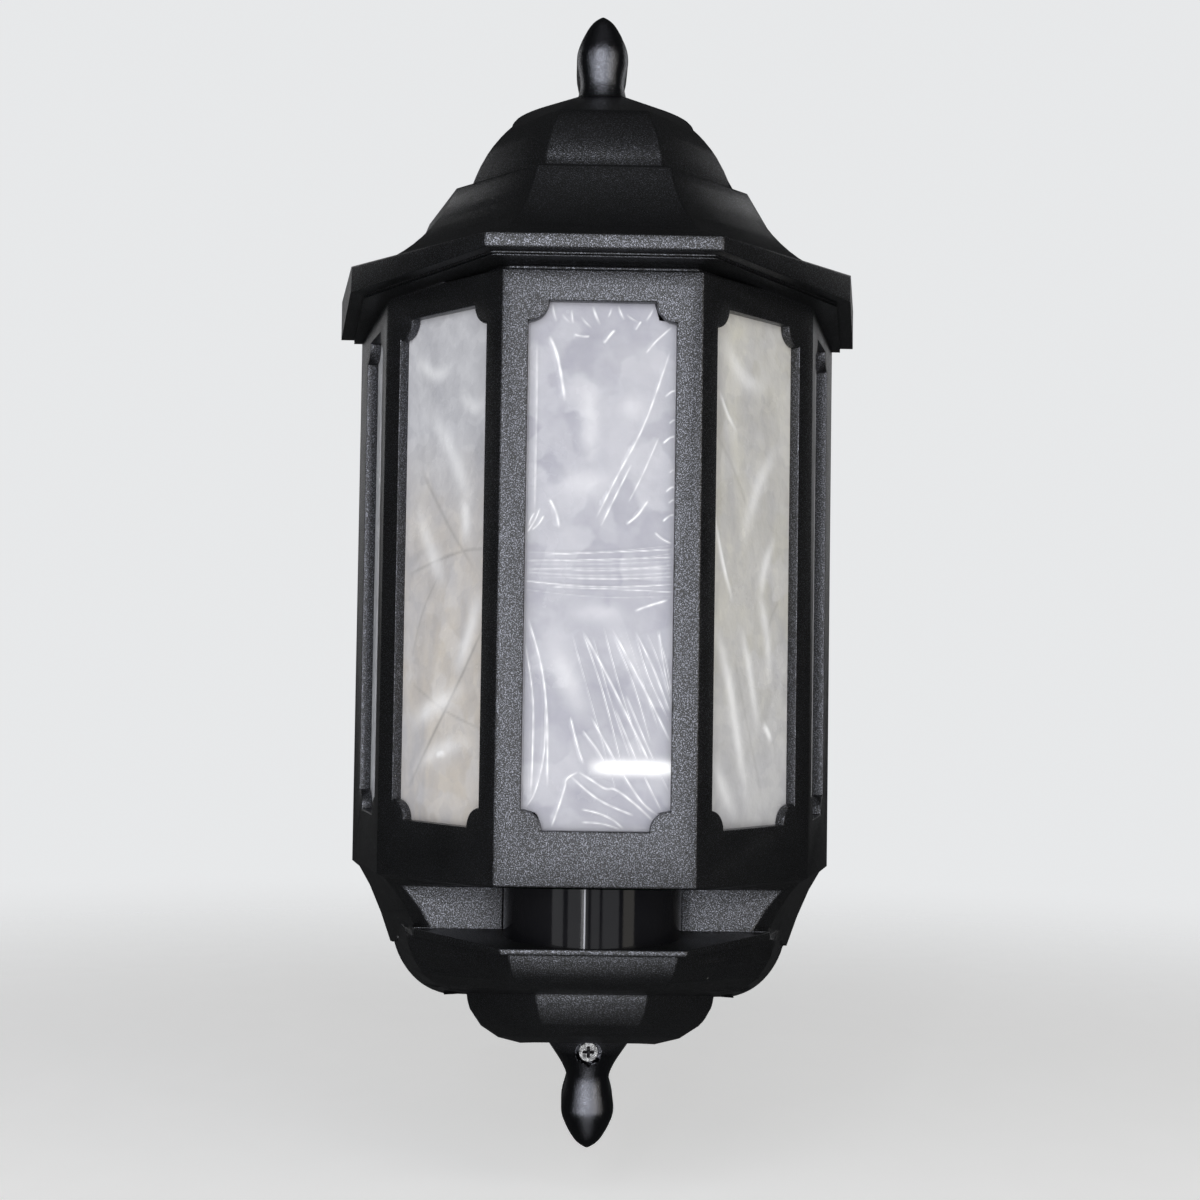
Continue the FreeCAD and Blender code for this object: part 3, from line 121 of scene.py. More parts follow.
world = bpy.data.worlds.new("studio")
world.use_nodes = True
sky = world.node_tree
pale = sky.nodes["Background"]
pale.inputs["Color"].default_value = (0.8, 0.81, 0.82, 1)
dim = sky.nodes.new("ShaderNodeBackground")
dim.inputs["Color"].default_value = (0.8, 0.82, 0.84, 1)
dim.inputs["Strength"].default_value = DIM_ROOM
ray = sky.nodes.new("ShaderNodeLightPath")
choose = sky.nodes.new("ShaderNodeMixShader")
sky.links.new(ray.outputs["Is Camera Ray"], choose.inputs["Fac"])
sky.links.new(dim.outputs["Background"], choose.inputs[1])
sky.links.new(pale.outputs["Background"], choose.inputs[2])
sky.links.new(choose.outputs["Shader"], sky.nodes["World Output"].inputs["Surface"])
bpy.context.scene.world = world
print("lights:", len(bpy.data.lights))

# %% [markdown]
# Two effects come up in most finishes, so each is a node group: a fine grain like that of a spark-eroded
# mould, and slow cloudy drift that keeps large faces from looking like one flat colour. A third one
# scatters a few specks of dust, and a fourth breaks the panes' film into soft facets.

# %% Shared effects
def new_group(name, inputs, outputs):
    group = bpy.data.node_groups.new(name, "ShaderNodeTree")
    for label, value in inputs:
        socket = group.interface.new_socket(name=label, in_out="INPUT", socket_type="NodeSocketFloat")
        socket.default_value = value
    for label in outputs:
        group.interface.new_socket(name=label, in_out="OUTPUT", socket_type="NodeSocketFloat")
    start = group.nodes.new("NodeGroupInput")
    end = group.nodes.new("NodeGroupOutput")
    return group, start, end


def grain_group():
    group, start, end = new_group("mould_grain", [("Scale", 1700.0)], ["Height", "Glint"])
    place = group.nodes.new("ShaderNodeTexCoord")
    grit = group.nodes.new("ShaderNodeTexNoise")
    grit.inputs["Detail"].default_value = 2
    cells = group.nodes.new("ShaderNodeTexVoronoi")
    mix = group.nodes.new("ShaderNodeMath")
    mix.operation = "MULTIPLY_ADD"
    mix.inputs[1].default_value = 0.6
    pick = group.nodes.new("ShaderNodeMapRange")
    pick.inputs["From Min"].default_value = 0.47
    pick.inputs["From Max"].default_value = 0.66
    link = group.links.new
    link(place.outputs["Object"], grit.inputs["Vector"])
    link(place.outputs["Object"], cells.inputs["Vector"])
    link(start.outputs["Scale"], grit.inputs["Scale"])
    link(start.outputs["Scale"], cells.inputs["Scale"])
    link(cells.outputs["Distance"], mix.inputs[0])
    link(grit.outputs["Fac"], mix.inputs[2])
    link(mix.outputs["Value"], end.inputs["Height"])
    link(grit.outputs["Fac"], pick.inputs["Value"])
    link(pick.outputs["Result"], end.inputs["Glint"])
    return group


def drift_group():
    group, start, end = new_group("cloudy_drift", [("Scale", 40.0), ("Low", 0.4), ("High", 0.6)], ["Value"])
    place = group.nodes.new("ShaderNodeTexCoord")
    cloud = group.nodes.new("ShaderNodeTexNoise")
    cloud.inputs["Detail"].default_value = 5
    spread = group.nodes.new("ShaderNodeMapRange")
    spread.inputs["From Min"].default_value = 0.3
    spread.inputs["From Max"].default_value = 0.7
    link = group.links.new
    link(place.outputs["Object"], cloud.inputs["Vector"])
    link(start.outputs["Scale"], cloud.inputs["Scale"])
    link(cloud.outputs["Fac"], spread.inputs["Value"])
    link(start.outputs["Low"], spread.inputs["To Min"])
    link(start.outputs["High"], spread.inputs["To Max"])
    link(spread.outputs["Result"], end.inputs["Value"])
    return group


def speck_group():
    inputs = [("Scale", 150.0), ("Size", 0.035), ("Share", 0.2)]
    group, start, end = new_group("dust_specks", inputs, ["Mask"])
    place = group.nodes.new("ShaderNodeTexCoord")
    cells = group.nodes.new("ShaderNodeTexVoronoi")
    near = group.nodes.new("ShaderNodeMath")
    near.operation = "LESS_THAN"
    tint = group.nodes.new("ShaderNodeSeparateColor")
    chosen = group.nodes.new("ShaderNodeMath")
    chosen.operation = "LESS_THAN"
    both = group.nodes.new("ShaderNodeMath")
    both.operation = "MULTIPLY"
    link = group.links.new
    link(place.outputs["Object"], cells.inputs["Vector"])
    link(start.outputs["Scale"], cells.inputs["Scale"])
    link(cells.outputs["Distance"], near.inputs[0])
    link(start.outputs["Size"], near.inputs[1])
    link(cells.outputs["Color"], tint.inputs["Color"])
    link(tint.outputs["Red"], chosen.inputs[0])
    link(start.outputs["Share"], chosen.inputs[1])
    link(near.outputs["Value"], both.inputs[0])
    link(chosen.outputs["Value"], both.inputs[1])
    link(both.outputs["Value"], end.inputs["Mask"])
    return group


def crumple_group():
    group, start, end = new_group("film_crumple", [("Scale", 90.0), ("Low", 0.0), ("High", 0.3)], ["Value"])
    place = group.nodes.new("ShaderNodeTexCoord")
    stir = group.nodes.new("ShaderNodeTexNoise")
    stir.inputs["Scale"].default_value = 120
    bend = group.nodes.new("ShaderNodeVectorMath")
    bend.operation = "MULTIPLY_ADD"
    bend.inputs[1].default_value = (0.012, 0.012, 0.012)
    facets = group.nodes.new("ShaderNodeTexVoronoi")
    facets.feature = "SMOOTH_F1"
    facets.inputs["Smoothness"].default_value = 0.3
    tint = group.nodes.new("ShaderNodeSeparateColor")
    spread = group.nodes.new("ShaderNodeMapRange")
    link = group.links.new
    link(place.outputs["Object"], stir.inputs["Vector"])
    link(stir.outputs["Color"], bend.inputs[0])
    link(place.outputs["Object"], bend.inputs[2])
    link(bend.outputs["Vector"], facets.inputs["Vector"])
    link(start.outputs["Scale"], facets.inputs["Scale"])
    link(facets.outputs["Color"], tint.inputs["Color"])
    link(tint.outputs["Red"], spread.inputs["Value"])
    link(start.outputs["Low"], spread.inputs["To Min"])
    link(start.outputs["High"], spread.inputs["To Max"])
    link(spread.outputs["Result"], end.inputs["Value"])
    return group


GRAIN = grain_group()
DRIFT = drift_group()
SPECKS = speck_group()
CRUMPLE = crumple_group()
print("effects:", GRAIN.name, DRIFT.name, SPECKS.name, CRUMPLE.name)

# %% [markdown]
# A few kinds of nodes come up again and again, so each has a short function that adds it and wires it.

# %% Node helpers
def effect(tree, group, **values):
    node = tree.nodes.new("ShaderNodeGroup")
    node.node_tree = group
    for label, value in values.items():
        node.inputs[label].default_value = value
    return node


def tint_over(tree, colour, mask, tint):
    """Lays a tint over a colour wherever the mask is one."""
    over = tree.nodes.new("ShaderNodeMix")
    over.data_type = "RGBA"
    over.inputs["B"].default_value = (*tint, 1)
    tree.links.new(mask, over.inputs["Factor"])
    tree.links.new(colour, over.inputs["A"])
    return over.outputs["Result"]


def object_axis(tree, axis):
    """One of the piece's own coordinates."""
    place = tree.nodes.new("ShaderNodeTexCoord")
    axes = tree.nodes.new("ShaderNodeSeparateXYZ")
    tree.links.new(place.outputs["Object"], axes.inputs["Vector"])
    return axes.outputs[axis]


def worked_out(tree, operation, *values):
    """A maths node fed by sockets and plain numbers."""
    node = tree.nodes.new("ShaderNodeMath")
    node.operation = operation
    for slot, value in enumerate(values):
        if isinstance(value, bpy.types.NodeSocket):
            tree.links.new(value, node.inputs[slot])
        else:
            node.inputs[slot].default_value = value
    return node.outputs["Value"]


def ranged(tree, value, start, end, low=0, high=1):
    """Maps a value from one range to another and holds it at the ends."""
    node = tree.nodes.new("ShaderNodeMapRange")
    for label, number in (("From Min", start), ("From Max", end), ("To Min", low), ("To Max", high)):
        node.inputs[label].default_value = number
    tree.links.new(value, node.inputs["Value"])
    return node.outputs["Result"]


print("node helpers:", effect.__name__, tint_over.__name__, worked_out.__name__, ranged.__name__)

# %% [markdown]
# Most finishes here are moulded or rolled surfaces, so one helper builds them all: two tones mixed by the
# drift, a roughness that drifts too, and a bump made from the grain. Each finish can be taken further
# afterwards, because the helper hands back the material with its nodes.

# %% Finish helper
GLOSS_DRIFT = 2.3
GRAIN_DEPTH = 0.0004
FLAKE_GAIN = 4


def finish(name, dark, light, rough, grain=2600, bump=0.1, metallic=0.0, drift=40, glint=None, dust=None):
    material = bpy.data.materials.new(name)
    material.use_nodes = True
    tree = material.node_tree
    link = tree.links.new
    shader = tree.nodes["Principled BSDF"]
    shader.inputs["Metallic"].default_value = metallic
    tone = effect(tree, DRIFT, Scale=drift, Low=0.0, High=1.0)
    ramp = tree.nodes.new("ShaderNodeMix")
    ramp.data_type = "RGBA"
    ramp.inputs["A"].default_value = (*dark, 1)
    ramp.inputs["B"].default_value = (*light, 1)
    link(tone.outputs["Value"], ramp.inputs["Factor"])
    colour = ramp.outputs["Result"]
    grit = effect(tree, GRAIN, Scale=grain)
    if glint:
        colour = tint_over(tree, colour, grit.outputs["Glint"], glint)
        flake = tree.nodes.new("ShaderNodeMath")
        flake.operation = "MULTIPLY"
        flake.use_clamp = True
        flake.inputs[1].default_value = FLAKE_GAIN
        link(grit.outputs["Glint"], flake.inputs[0])
        link(flake.outputs["Value"], shader.inputs["Metallic"])
    if dust:
        specks = effect(tree, SPECKS)
        colour = tint_over(tree, colour, specks.outputs["Mask"], dust)
    link(colour, shader.inputs["Base Color"])
    gloss = effect(tree, DRIFT, Scale=drift * GLOSS_DRIFT, Low=rough[0], High=rough[1])
    link(gloss.outputs["Value"], shader.inputs["Roughness"])
    relief = tree.nodes.new("ShaderNodeBump")
    relief.inputs["Strength"].default_value = bump
    relief.inputs["Distance"].default_value = GRAIN_DEPTH
    link(grit.outputs["Height"], relief.inputs["Height"])
    link(relief.outputs["Normal"], shader.inputs["Normal"])
    return material


def dress(piece, material):
    piece.data.materials.clear()
    piece.data.materials.append(material)


print("finish helpers:", finish.__name__, dress.__name__)

# %% [markdown]
# The floor is a pale disc under the lantern. Its rim fades out, so it meets the pale room without a line.
# The lantern doesn't mirror it, and the low panel shines through it from below.

# %% Floor
FLOOR_LEVEL = -0.2
FLOOR_RADIUS = 1.0
FLOOR_FADE_START = 0.3
FLOOR_GLOW = 0.45

bpy.ops.object.select_all(action="DESELECT")
bpy.ops.mesh.primitive_circle_add(vertices=96, radius=FLOOR_RADIUS, fill_type="NGON",
                                  location=(0, 0, FLOOR_LEVEL))
floor = bpy.context.active_object
floor.name = "floor"
floor.visible_glossy = False
floor.visible_shadow = False
floor_finish = finish("floor_pale", (0.8, 0.8, 0.79), (0.84, 0.84, 0.83), (0.7, 0.8), grain=60, bump=0.02)
floor_tree = floor_finish.node_tree
floor_shader = floor_tree.nodes["Principled BSDF"]
floor_shader.inputs["Emission Color"].default_value = (1, 1, 1, 1)
floor_shader.inputs["Emission Strength"].default_value = FLOOR_GLOW
floor_place = floor_tree.nodes.new("ShaderNodeTexCoord")
floor_reach = floor_tree.nodes.new("ShaderNodeVectorMath")
floor_reach.operation = "LENGTH"
floor_fade = floor_tree.nodes.new("ShaderNodeMapRange")
floor_fade.interpolation_type = "SMOOTHSTEP"
floor_fade.inputs["From Min"].default_value = FLOOR_FADE_START
floor_fade.inputs["From Max"].default_value = FLOOR_RADIUS
floor_fade.inputs["To Min"].default_value = 1
floor_fade.inputs["To Max"].default_value = 0
floor_tree.links.new(floor_place.outputs["Object"], floor_reach.inputs[0])
floor_tree.links.new(floor_reach.outputs["Value"], floor_fade.inputs["Value"])
floor_tree.links.new(floor_fade.outputs["Result"], floor_shader.inputs["Alpha"])
dress(floor, floor_finish)
print("floor:", floor.name, "at", FLOOR_LEVEL)

# %% [markdown]
# The two bowls under the sensor come with few steps. Each step is halved, and its new point is laid on the
# arc that runs on through the neighbouring steps.

# %% Rounder bowls
BOWLS_FROM = -0.1386
BOWLS_TO = -0.1102
BOWL_HALVINGS = 2
RUNS_ON = 0.78
STEEP = 0.15
ARC_SHARE = 0.125
SAME_PLACE = 1e-6


def arc_direction(corner, edge, ahead, length):
    """Direction of the curve at one end of an edge, or nothing where the curve stops there."""
    best = None
    for other in corner.link_edges:
        reach = other.other_vert(corner).co - corner.co
        if other is edge or reach.length == 0:
            continue
        onward = reach.normalized() if ahead.dot(reach) > 0 else -reach.normalized()
        leaves = corner is edge.verts[1]
        if (ahead.dot(reach) > 0) == leaves and onward.dot(ahead) > RUNS_ON:
            if best is None or onward.dot(ahead) > best[0]:
                best = (onward.dot(ahead), onward, reach.length)
    if best is None:
        return None
    return (ahead * best[2] + best[1] * length).normalized()


def halve_steps(form, low, high):
    """Halves the steps of the curved stretches between two heights and rounds them."""
    chosen = []
    middles = []
    targets = []
    for edge in form.edges:
        first, last = (corner.co for corner in edge.verts)
        length = edge.calc_length()
        if min(first.z, last.z) < low or max(first.z, last.z) > high:
            continue
        if abs(first.z - last.z) < STEEP * length:
            continue
        ahead = (last - first).normalized()
        early = arc_direction(edge.verts[0], edge, ahead, length)
        late = arc_direction(edge.verts[1], edge, ahead, length)
        if early is None and late is None:
            continue
        if early is None:
            early = 2 * ahead.dot(late) * ahead - late
        if late is None:
            late = 2 * ahead.dot(early) * ahead - early
        chosen.append(edge)
        middles.append((first + last) / 2)
        targets.append(middles[-1] + ARC_SHARE * length * (early - late))
    lookup = KDTree(len(middles))
    for place, middle in enumerate(middles):
        lookup.insert(middle, place)
    lookup.balance()
    made = bmesh.ops.subdivide_edges(form, edges=chosen, cuts=1, use_grid_fill=True)
    for corner in made["geom_inner"]:
        if isinstance(corner, bmesh.types.BMVert):
            _, place, gap = lookup.find(corner.co)
            if gap < SAME_PLACE:
                corner.co = targets[place]


print("bowls:", BOWL_HALVINGS, "halvings between", BOWLS_FROM, "and", BOWLS_TO)

# %% [markdown]
# The body is one black moulding with a fine grain. The edges of the solid are sharp, and on a black
# object the edges are most of what is seen, so a copy of it is merged, freed of its flat triangles and
# bevelled. One width for all edges would tangle the fine ones, so each edge gets a weight by the room
# beside it. The thin rim that faces the wall keeps its triangles, because it runs round in a ring, and
# the finials keep their turned shape.

# %% Soft edges
EDGE_WIDTH = 0.0006
EDGE_SEGMENTS = 2
SHARP_ANGLE = math.radians(30)
RIM_DEPTH = -0.0015
FINIAL_FROM = 0.1475
WALL_FACING = 0.9
ROOM_LIMIT = 2.5
ROOM_SHARE = 0.4
RUNS_BACK = -0.8
MERGE_GAP = 0.00002
FLAT_ANGLE = math.radians(0.6)
SMOOTH_ANGLE = math.radians(32)


def edge_weights(mesh):
    """How much of the bevel's width each sharp edge has room for."""
    form = bmesh.new()
    form.from_mesh(mesh)
    weights = []
    for edge in form.edges:
        weight = 0.0
        kept = any(corner.co.y > RIM_DEPTH or abs(corner.co.z) > FINIAL_FROM for corner in edge.verts)
        if not kept and len(edge.link_faces) == 2 and edge.calc_face_angle() > SHARP_ANGLE:
            room = EDGE_WIDTH * ROOM_LIMIT
            for corner in edge.verts:
                along = (edge.other_vert(corner).co - corner.co).normalized()
                for other in corner.link_edges:
                    if other is edge or other.calc_length() == 0:
                        continue
                    reach = other.other_vert(corner).co - corner.co
                    if reach.normalized().dot(along) > RUNS_BACK:
                        room = min(room, reach.cross(along).length)
            weight = min(1.0, ROOM_SHARE * room / EDGE_WIDTH)
        weights.append(weight)
    form.free()
    return weights


def softened_copy(node, name):
    bpy.ops.object.select_all(action="DESELECT")
    piece = bpy.data.objects.new(name, nodes[node].data.copy())
    bpy.context.scene.collection.objects.link(piece)
    piece.select_set(True)
    bpy.context.view_layer.objects.active = piece
    bpy.ops.object.mode_set(mode="EDIT")
    bpy.ops.mesh.select_mode(type="FACE")
    bpy.ops.mesh.select_all(action="SELECT")
    bpy.ops.mesh.remove_doubles(threshold=MERGE_GAP)
    bpy.ops.object.mode_set(mode="OBJECT")
    for face in piece.data.polygons:
        face.select = face.normal.y < WALL_FACING
    bpy.ops.object.mode_set(mode="EDIT")
    bpy.ops.mesh.dissolve_limited(angle_limit=FLAT_ANGLE)
    bpy.ops.object.mode_set(mode="OBJECT")
    form = bmesh.new()
    form.from_mesh(piece.data)
    for _ in range(BOWL_HALVINGS):
        halve_steps(form, BOWLS_FROM, BOWLS_TO)
    form.to_mesh(piece.data)
    form.free()
    weights = edge_weights(piece.data)
    softness = piece.data.attributes.new("bevel_weight_edge", "FLOAT", "EDGE")
    softness.data.foreach_set("value", weights)
    bevel = piece.modifiers.new("soft_edges", "BEVEL")
    bevel.width = EDGE_WIDTH
    bevel.segments = EDGE_SEGMENTS
    bevel.limit_method = "WEIGHT"
    bevel.use_clamp_overlap = False
    bpy.ops.object.modifier_apply(modifier=bevel.name)
    bpy.ops.object.shade_smooth_by_angle(angle=SMOOTH_ANGLE)
    return piece


shell = softened_copy("lantern_body", "lantern_shell")
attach(shell, "lantern")
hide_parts("lantern_body")
print("lantern shell faces:", len(shell.data.polygons))

# %% [markdown]
# The black moulding is nearly black in itself. What makes it grey is the mirror of the light in its
# grain, so the colour is dark, and the tips of the grain glint like fine flakes of metal. Hands have
# rubbed the two finials smoother, so there the glints even out into a sheen.

# %% Black moulding
RUBBED_FROM = 0.144
RUBBED_TO = 0.156
RUBBED_ROUGHNESS = 0.22
RUBBED_CALM = 0.7
RUBBED_SHEEN = 0.45

black_moulding = finish("black_moulding", (0.003, 0.0031, 0.003), (0.006, 0.0063, 0.006), (0.29, 0.36),
                        grain=3000, bump=0.24, glint=(0.205, 0.21, 0.235), dust=(0.3, 0.3, 0.29))
black_tree = black_moulding.node_tree
black_shader = black_tree.nodes["Principled BSDF"]
black_shader.inputs["Specular IOR Level"].default_value = 0.5
black_height = worked_out(black_tree, "ABSOLUTE", object_axis(black_tree, "Z"))
rubbed = ranged(black_tree, black_height, RUBBED_FROM, RUBBED_TO)
polish = black_tree.nodes.new("ShaderNodeMix")
polish.inputs["B"].default_value = RUBBED_ROUGHNESS
black_tree.links.new(rubbed, polish.inputs["Factor"])
black_tree.links.new(black_shader.inputs["Roughness"].links[0].from_socket, polish.inputs["A"])
black_tree.links.new(polish.outputs["Result"], black_shader.inputs["Roughness"])
black_grain = next(node for node in black_tree.nodes if node.type == "GROUP" and node.node_tree is GRAIN)
black_glints = black_grain.outputs["Glint"]
glint_uses = [link.to_socket for link in black_glints.links]
calm = worked_out(black_tree, "MULTIPLY_ADD", rubbed, -RUBBED_CALM, 1)
sheen = worked_out(black_tree, "MULTIPLY", rubbed, RUBBED_SHEEN)
evened = worked_out(black_tree, "MULTIPLY_ADD", black_glints, calm, sheen)
for use in glint_uses:
    black_tree.links.new(evened, use)
dress(shell, black_moulding)
print("shell finish:", black_moulding.name)

# %% [markdown]
# Each pane still wears its clear film, which is crinkled. The film is drawn as strokes: each stroke is a
# line on the window with a width, and the grid of the pane rises along it. The same strokes are kept as
# three values on the pane, so the finish can paint highlights on the creases, paint shade into the dark
# folds and warm what shows through. Stroke points are in millimetres from the middle of the window, to
# the right and up.

# %% Strokes on the film
CORNER_CUT = 0.25
SHORTEST_STEP = 1e-9


def rounded(points, passes=3):
    """Cuts the corners of a line until it is a smooth curve."""
    line = np.array(points, dtype=float)
    for _ in range(passes):
        if len(line) < 3:
            break
        early = line[:-1] * (1 - CORNER_CUT) + line[1:] * CORNER_CUT
        late = line[:-1] * CORNER_CUT + line[1:] * (1 - CORNER_CUT)
        inner = np.stack([early, late], axis=1).reshape(-1, 2)
        line = np.concatenate([line[:1], inner[1:-1], line[-1:]])
    return line


def stroke(spots, points, width, fade=0.12):
    """One along the line, falling to zero beside it and towards its two ends."""
    line = rounded(points)
    steps = np.linalg.norm(np.diff(line, axis=0), axis=1)
    starts = np.concatenate([[0], np.cumsum(steps)])
    nearest = np.full(len(spots), np.inf)
    where = np.zeros(len(spots))
    for start, end, begun, step in zip(line[:-1], line[1:], starts, steps):
        along = np.clip((spots - start) @ (end - start) / max(step * step, SHORTEST_STEP), 0, 1)
        gap = np.linalg.norm(spots - start - along[:, None] * (end - start), axis=1)
        closer = gap < nearest
        nearest[closer] = gap[closer]
        where[closer] = (begun + along * step)[closer]
    share = where / starts[-1]
    ends = np.clip(np.minimum(share, 1 - share) / fade, 0, 1)
    return np.exp(-(nearest / width) ** 2) * ends


MIDDLE_SPOT = np.zeros((1, 2))
print("a stroke at its own middle:", stroke(MIDDLE_SPOT, [(-1, 0), (1, 0)], width=0.2)[0])

# %% [markdown]
# The front pane's film is creased most at the head and the foot, and the creases are painted as highlights.
# Short painted ticks stand along its upper and right edges, and some wide, soft folds catch the light
# between the creases, painted as fainter highlights.

# %% Front creases
# Width, gain and points
BRIGHT_FRONT = [
    (0.22, 0.9, [(-4.3, -18.3), (3, -31), (16, -57)]),
    (0.22, 0.9, [(3.8, -17.5), (12, -32), (20.6, -49)]),
    (0.20, 0.8, [(10.4, -18.3), (15.5, -28), (20.5, -41)]),
    (0.20, 0.8, [(17, -17.5), (18.2, -27), (20.4, -36)]),
    (0.20, 0.9, [(-7.5, -42), (-5.5, -50), (-3.5, -55.6)]),
    (0.20, 0.8, [(-4, -46), (0, -51), (2.8, -55.6)]),
    (0.20, 0.9, [(-2, -41.6), (5.9, -55.6), (13, -66.5), (17.7, -69.6)]),
    (0.19, 0.7, [(8, -36), (14, -50), (20.4, -63)]),
    (0.19, 0.7, [(5, -40), (11.5, -55), (18.5, -68.5)]),
    (0.23, 1.0, [(-19.6, -15), (-15.5, -28), (-13.8, -42), (-13.5, -62)]),
    (0.20, 0.9, [(-20.3, -22), (-18, -35), (-17.6, -45), (-18.1, -65)]),
    (0.19, 0.7, [(-14.5, -38), (-14.2, -52), (-16.8, -64), (-19.7, -68)]),
    (0.23, 0.9, [(-12.2, -73), (-8.5, -62), (-8.5, -59.5), (-5, -57.6)]),
    (0.23, 0.9, [(-5, -57.6), (-1, -60), (2.8, -62.6), (5.2, -61.8), (13, -68), (16, -71)]),
    (0.22, 0.9, [(-7.3, -58.7), (0.6, -65.7), (10.7, -69.6)]),
    (0.20, 0.8, [(-4, -68), (1, -69), (5.3, -71), (8, -73.5)]),
    (0.20, 0.7, [(-4, -71.6), (2, -71.8), (6.9, -73.5)]),
    (0.24, 0.8, [(-1.2, 13), (5, 26), (12.4, 39.6), (19.2, 61)]),
    (0.22, 0.8, [(0.3, 11), (4, 19), (8.7, 28.7)]),
    (0.27, 1.0, [(7.3, 11.6), (10.5, 14), (13.5, 18.6)]),
    (0.20, 0.6, [(8, 18), (12, 26), (16.3, 36.5)]),
    (0.34, 1.0, [(-15, 64.5), (-12.8, 60), (-11.5, 54), (-10.2, 46)]),
    (0.18, 0.6, [(-18.3, 64), (-18.2, 40), (-18.3, 13)]),
    (0.31, 1.0, [(0.4, 62.6), (2, 64.8), (3.5, 66.5)]),
    (0.23, 0.8, [(-8, 65), (-5.6, 64.4), (-3.5, 64.5)]),
    (0.23, 0.9, [(9.3, 66.5), (10, 67.8), (10.8, 69)]),
    (0.23, 0.8, [(12.3, 60), (15, 63.5), (19.5, 67.5)]),
    (0.27, 1.0, [(-14.2, 18.6), (-12, 14.5), (-11.4, 10.4)]),
    (0.20, 0.9, [(-18.3, 14.7), (-19.6, 12.4), (-19.8, 10.8)]),
    (0.20, 0.9, [(-15.6, 14), (-17, 11.4), (-19, 9.7)]),
    (0.20, 0.8, [(-16.8, 16), (-18, 12.6), (-20.3, 9)]),
    (0.20, 0.8, [(15.4, 9.6), (17.6, 7.6), (20.4, 6.4)]),
    (0.27, 0.9, [(10, -12.6), (14, -11), (19.5, -9.3)]),
]
# Place across, height, lean, reach and gain
TOP_TICKS = [
    (-13.7, 71, 0.5, 2.6, 0.8), (-10.5, 69.5, 1.0, 1.4, 0.5), (-8.6, 70, 0.2, 2.0, 0.9),
    (-5, 68.6, 1.3, 1.8, 0.6), (-2, 70.5, 0.9, 2.8, 0.85), (2.2, 71.4, -0.4, 1.5, 0.6),
    (5, 71.4, 0.7, 2.2, 0.9), (8, 69.8, 1.4, 1.2, 0.5), (13.5, 71, -0.8, 1.9, 0.8),
]
# Height, reach and gain
RIGHT_EDGE_TICKS = [
    (49, 2.4, 0.9), (41, 1.4, 0.6), (36, 2.8, 1.0), (27, 1.2, 0.5), (22, 2.0, 0.8), (18.5, 1.3, 0.7),
    (14, 2.6, 0.9),
]
# Width, gain and points
SOFT_FRONT = [
    (2.4, 0.45, [(-3, 53), (-3.4, 40), (-3, 26)]),
    (3.5, 0.3, [(4, 46), (9, 45), (14, 44)]),
    (3.0, 0.4, [(-12.5, -16), (-11.5, -26), (-7, -34), (-3, -46)]),
    (2.6, 0.35, [(4, -18), (9, -24), (12, -33)]),
    (4.0, 0.3, [(-16, 24), (-5, 23), (6, 25)]),
    (2.5, 0.3, [(-10, -13.5), (0, -12.5), (8, -13.5)]),
]
print("front creases:", len(BRIGHT_FRONT), "ticks:", len(TOP_TICKS) + len(RIGHT_EDGE_TICKS))

# %% [markdown]
# Across the middle the film is pulled tight, and a band of fine lines, painted as highlights, spreads out to
# the right. Below it long wrinkles, painted as highlights too, fan down to the right, and a painted glare, a
# reflection of a light, lies across the foot. The lines of the band and of the fan come out of a loop, and
# a sine of the line's number makes them uneven.

# %% Front film
WINDOW_HALF = 20.8
BAND_LINES = 14
BAND_LEFT = (3.6, -7)
BAND_RIGHT = (6, -8.2)
BAND_POINTS = 6
BAND_BEND = 1.6
BAND_INSET = 13
BAND_FADE = 0.05
FAN_LINES = 9
FAN_TOP = -18.5
FAN_FOOT = -64
FAN_WIDTH = 0.16
FAN_BOW = 0.9
FAN_KNEE = 0.45
EDGE_TICK_WIDTH = 0.24
TOP_TICK_GAIN = 0.85
SOFT_GAIN = 0.6
RISE_SPREAD = 3
CREASE_RISE = 0.16
BAND_RISE = 0.14
TICK_RISE = 0.12
FAN_RISE = 0.1
PATCH_MEAN = 0.68
PATCH_SWING = 0.32
GLARE_LEVEL = -56.3
GLARE_FROM = -2.7
GLARE_TO = 26
GLARE_FADE_IN = 6
GLARE_FADE_OUT = 4
GLARE_HALF = 1.9
GLARE_GAIN = 1.25


def uneven(line, rate, power=1):
    """A number that differs from line to line."""
    return math.sin(rate * line) ** power


def top_tick(x, z, lean, reach):
    return [(x - lean, z + reach), (x, z), (x + 1.6 * lean, z - reach)]


def right_edge_tick(z, reach):
    return [(WINDOW_HALF - 1.2 * reach, z - 0.5 * reach), (WINDOW_HALF - 0.5 * reach, z + 0.15 * reach),
            (WINDOW_HALF, z + 0.25 * reach)]


def band_line(line):
    """Width, gain and points of one line of the tight band."""
    share = line / (BAND_LINES - 1)
    left = BAND_LEFT[0] + (BAND_LEFT[1] - BAND_LEFT[0]) * share
    right = BAND_RIGHT[0] + (BAND_RIGHT[1] - BAND_RIGHT[0]) * share
    sag = 0.9 * uneven(line, 2.3) - 0.5
    begin = -WINDOW_HALF + BAND_INSET * uneven(line, 4.1, power=4)
    points = []
    for x in np.linspace(begin, WINDOW_HALF, BAND_POINTS):
        along = (x + WINDOW_HALF) / (2 * WINDOW_HALF)
        points.append((x, left + (right - left) * along ** BAND_BEND + sag * math.sin(math.pi * along)))
    width = 0.12 + 0.08 * uneven(line, 2.9, power=2)
    gain = 0.2 + 0.55 * uneven(line, 1.7, power=4)
    return width, gain, points


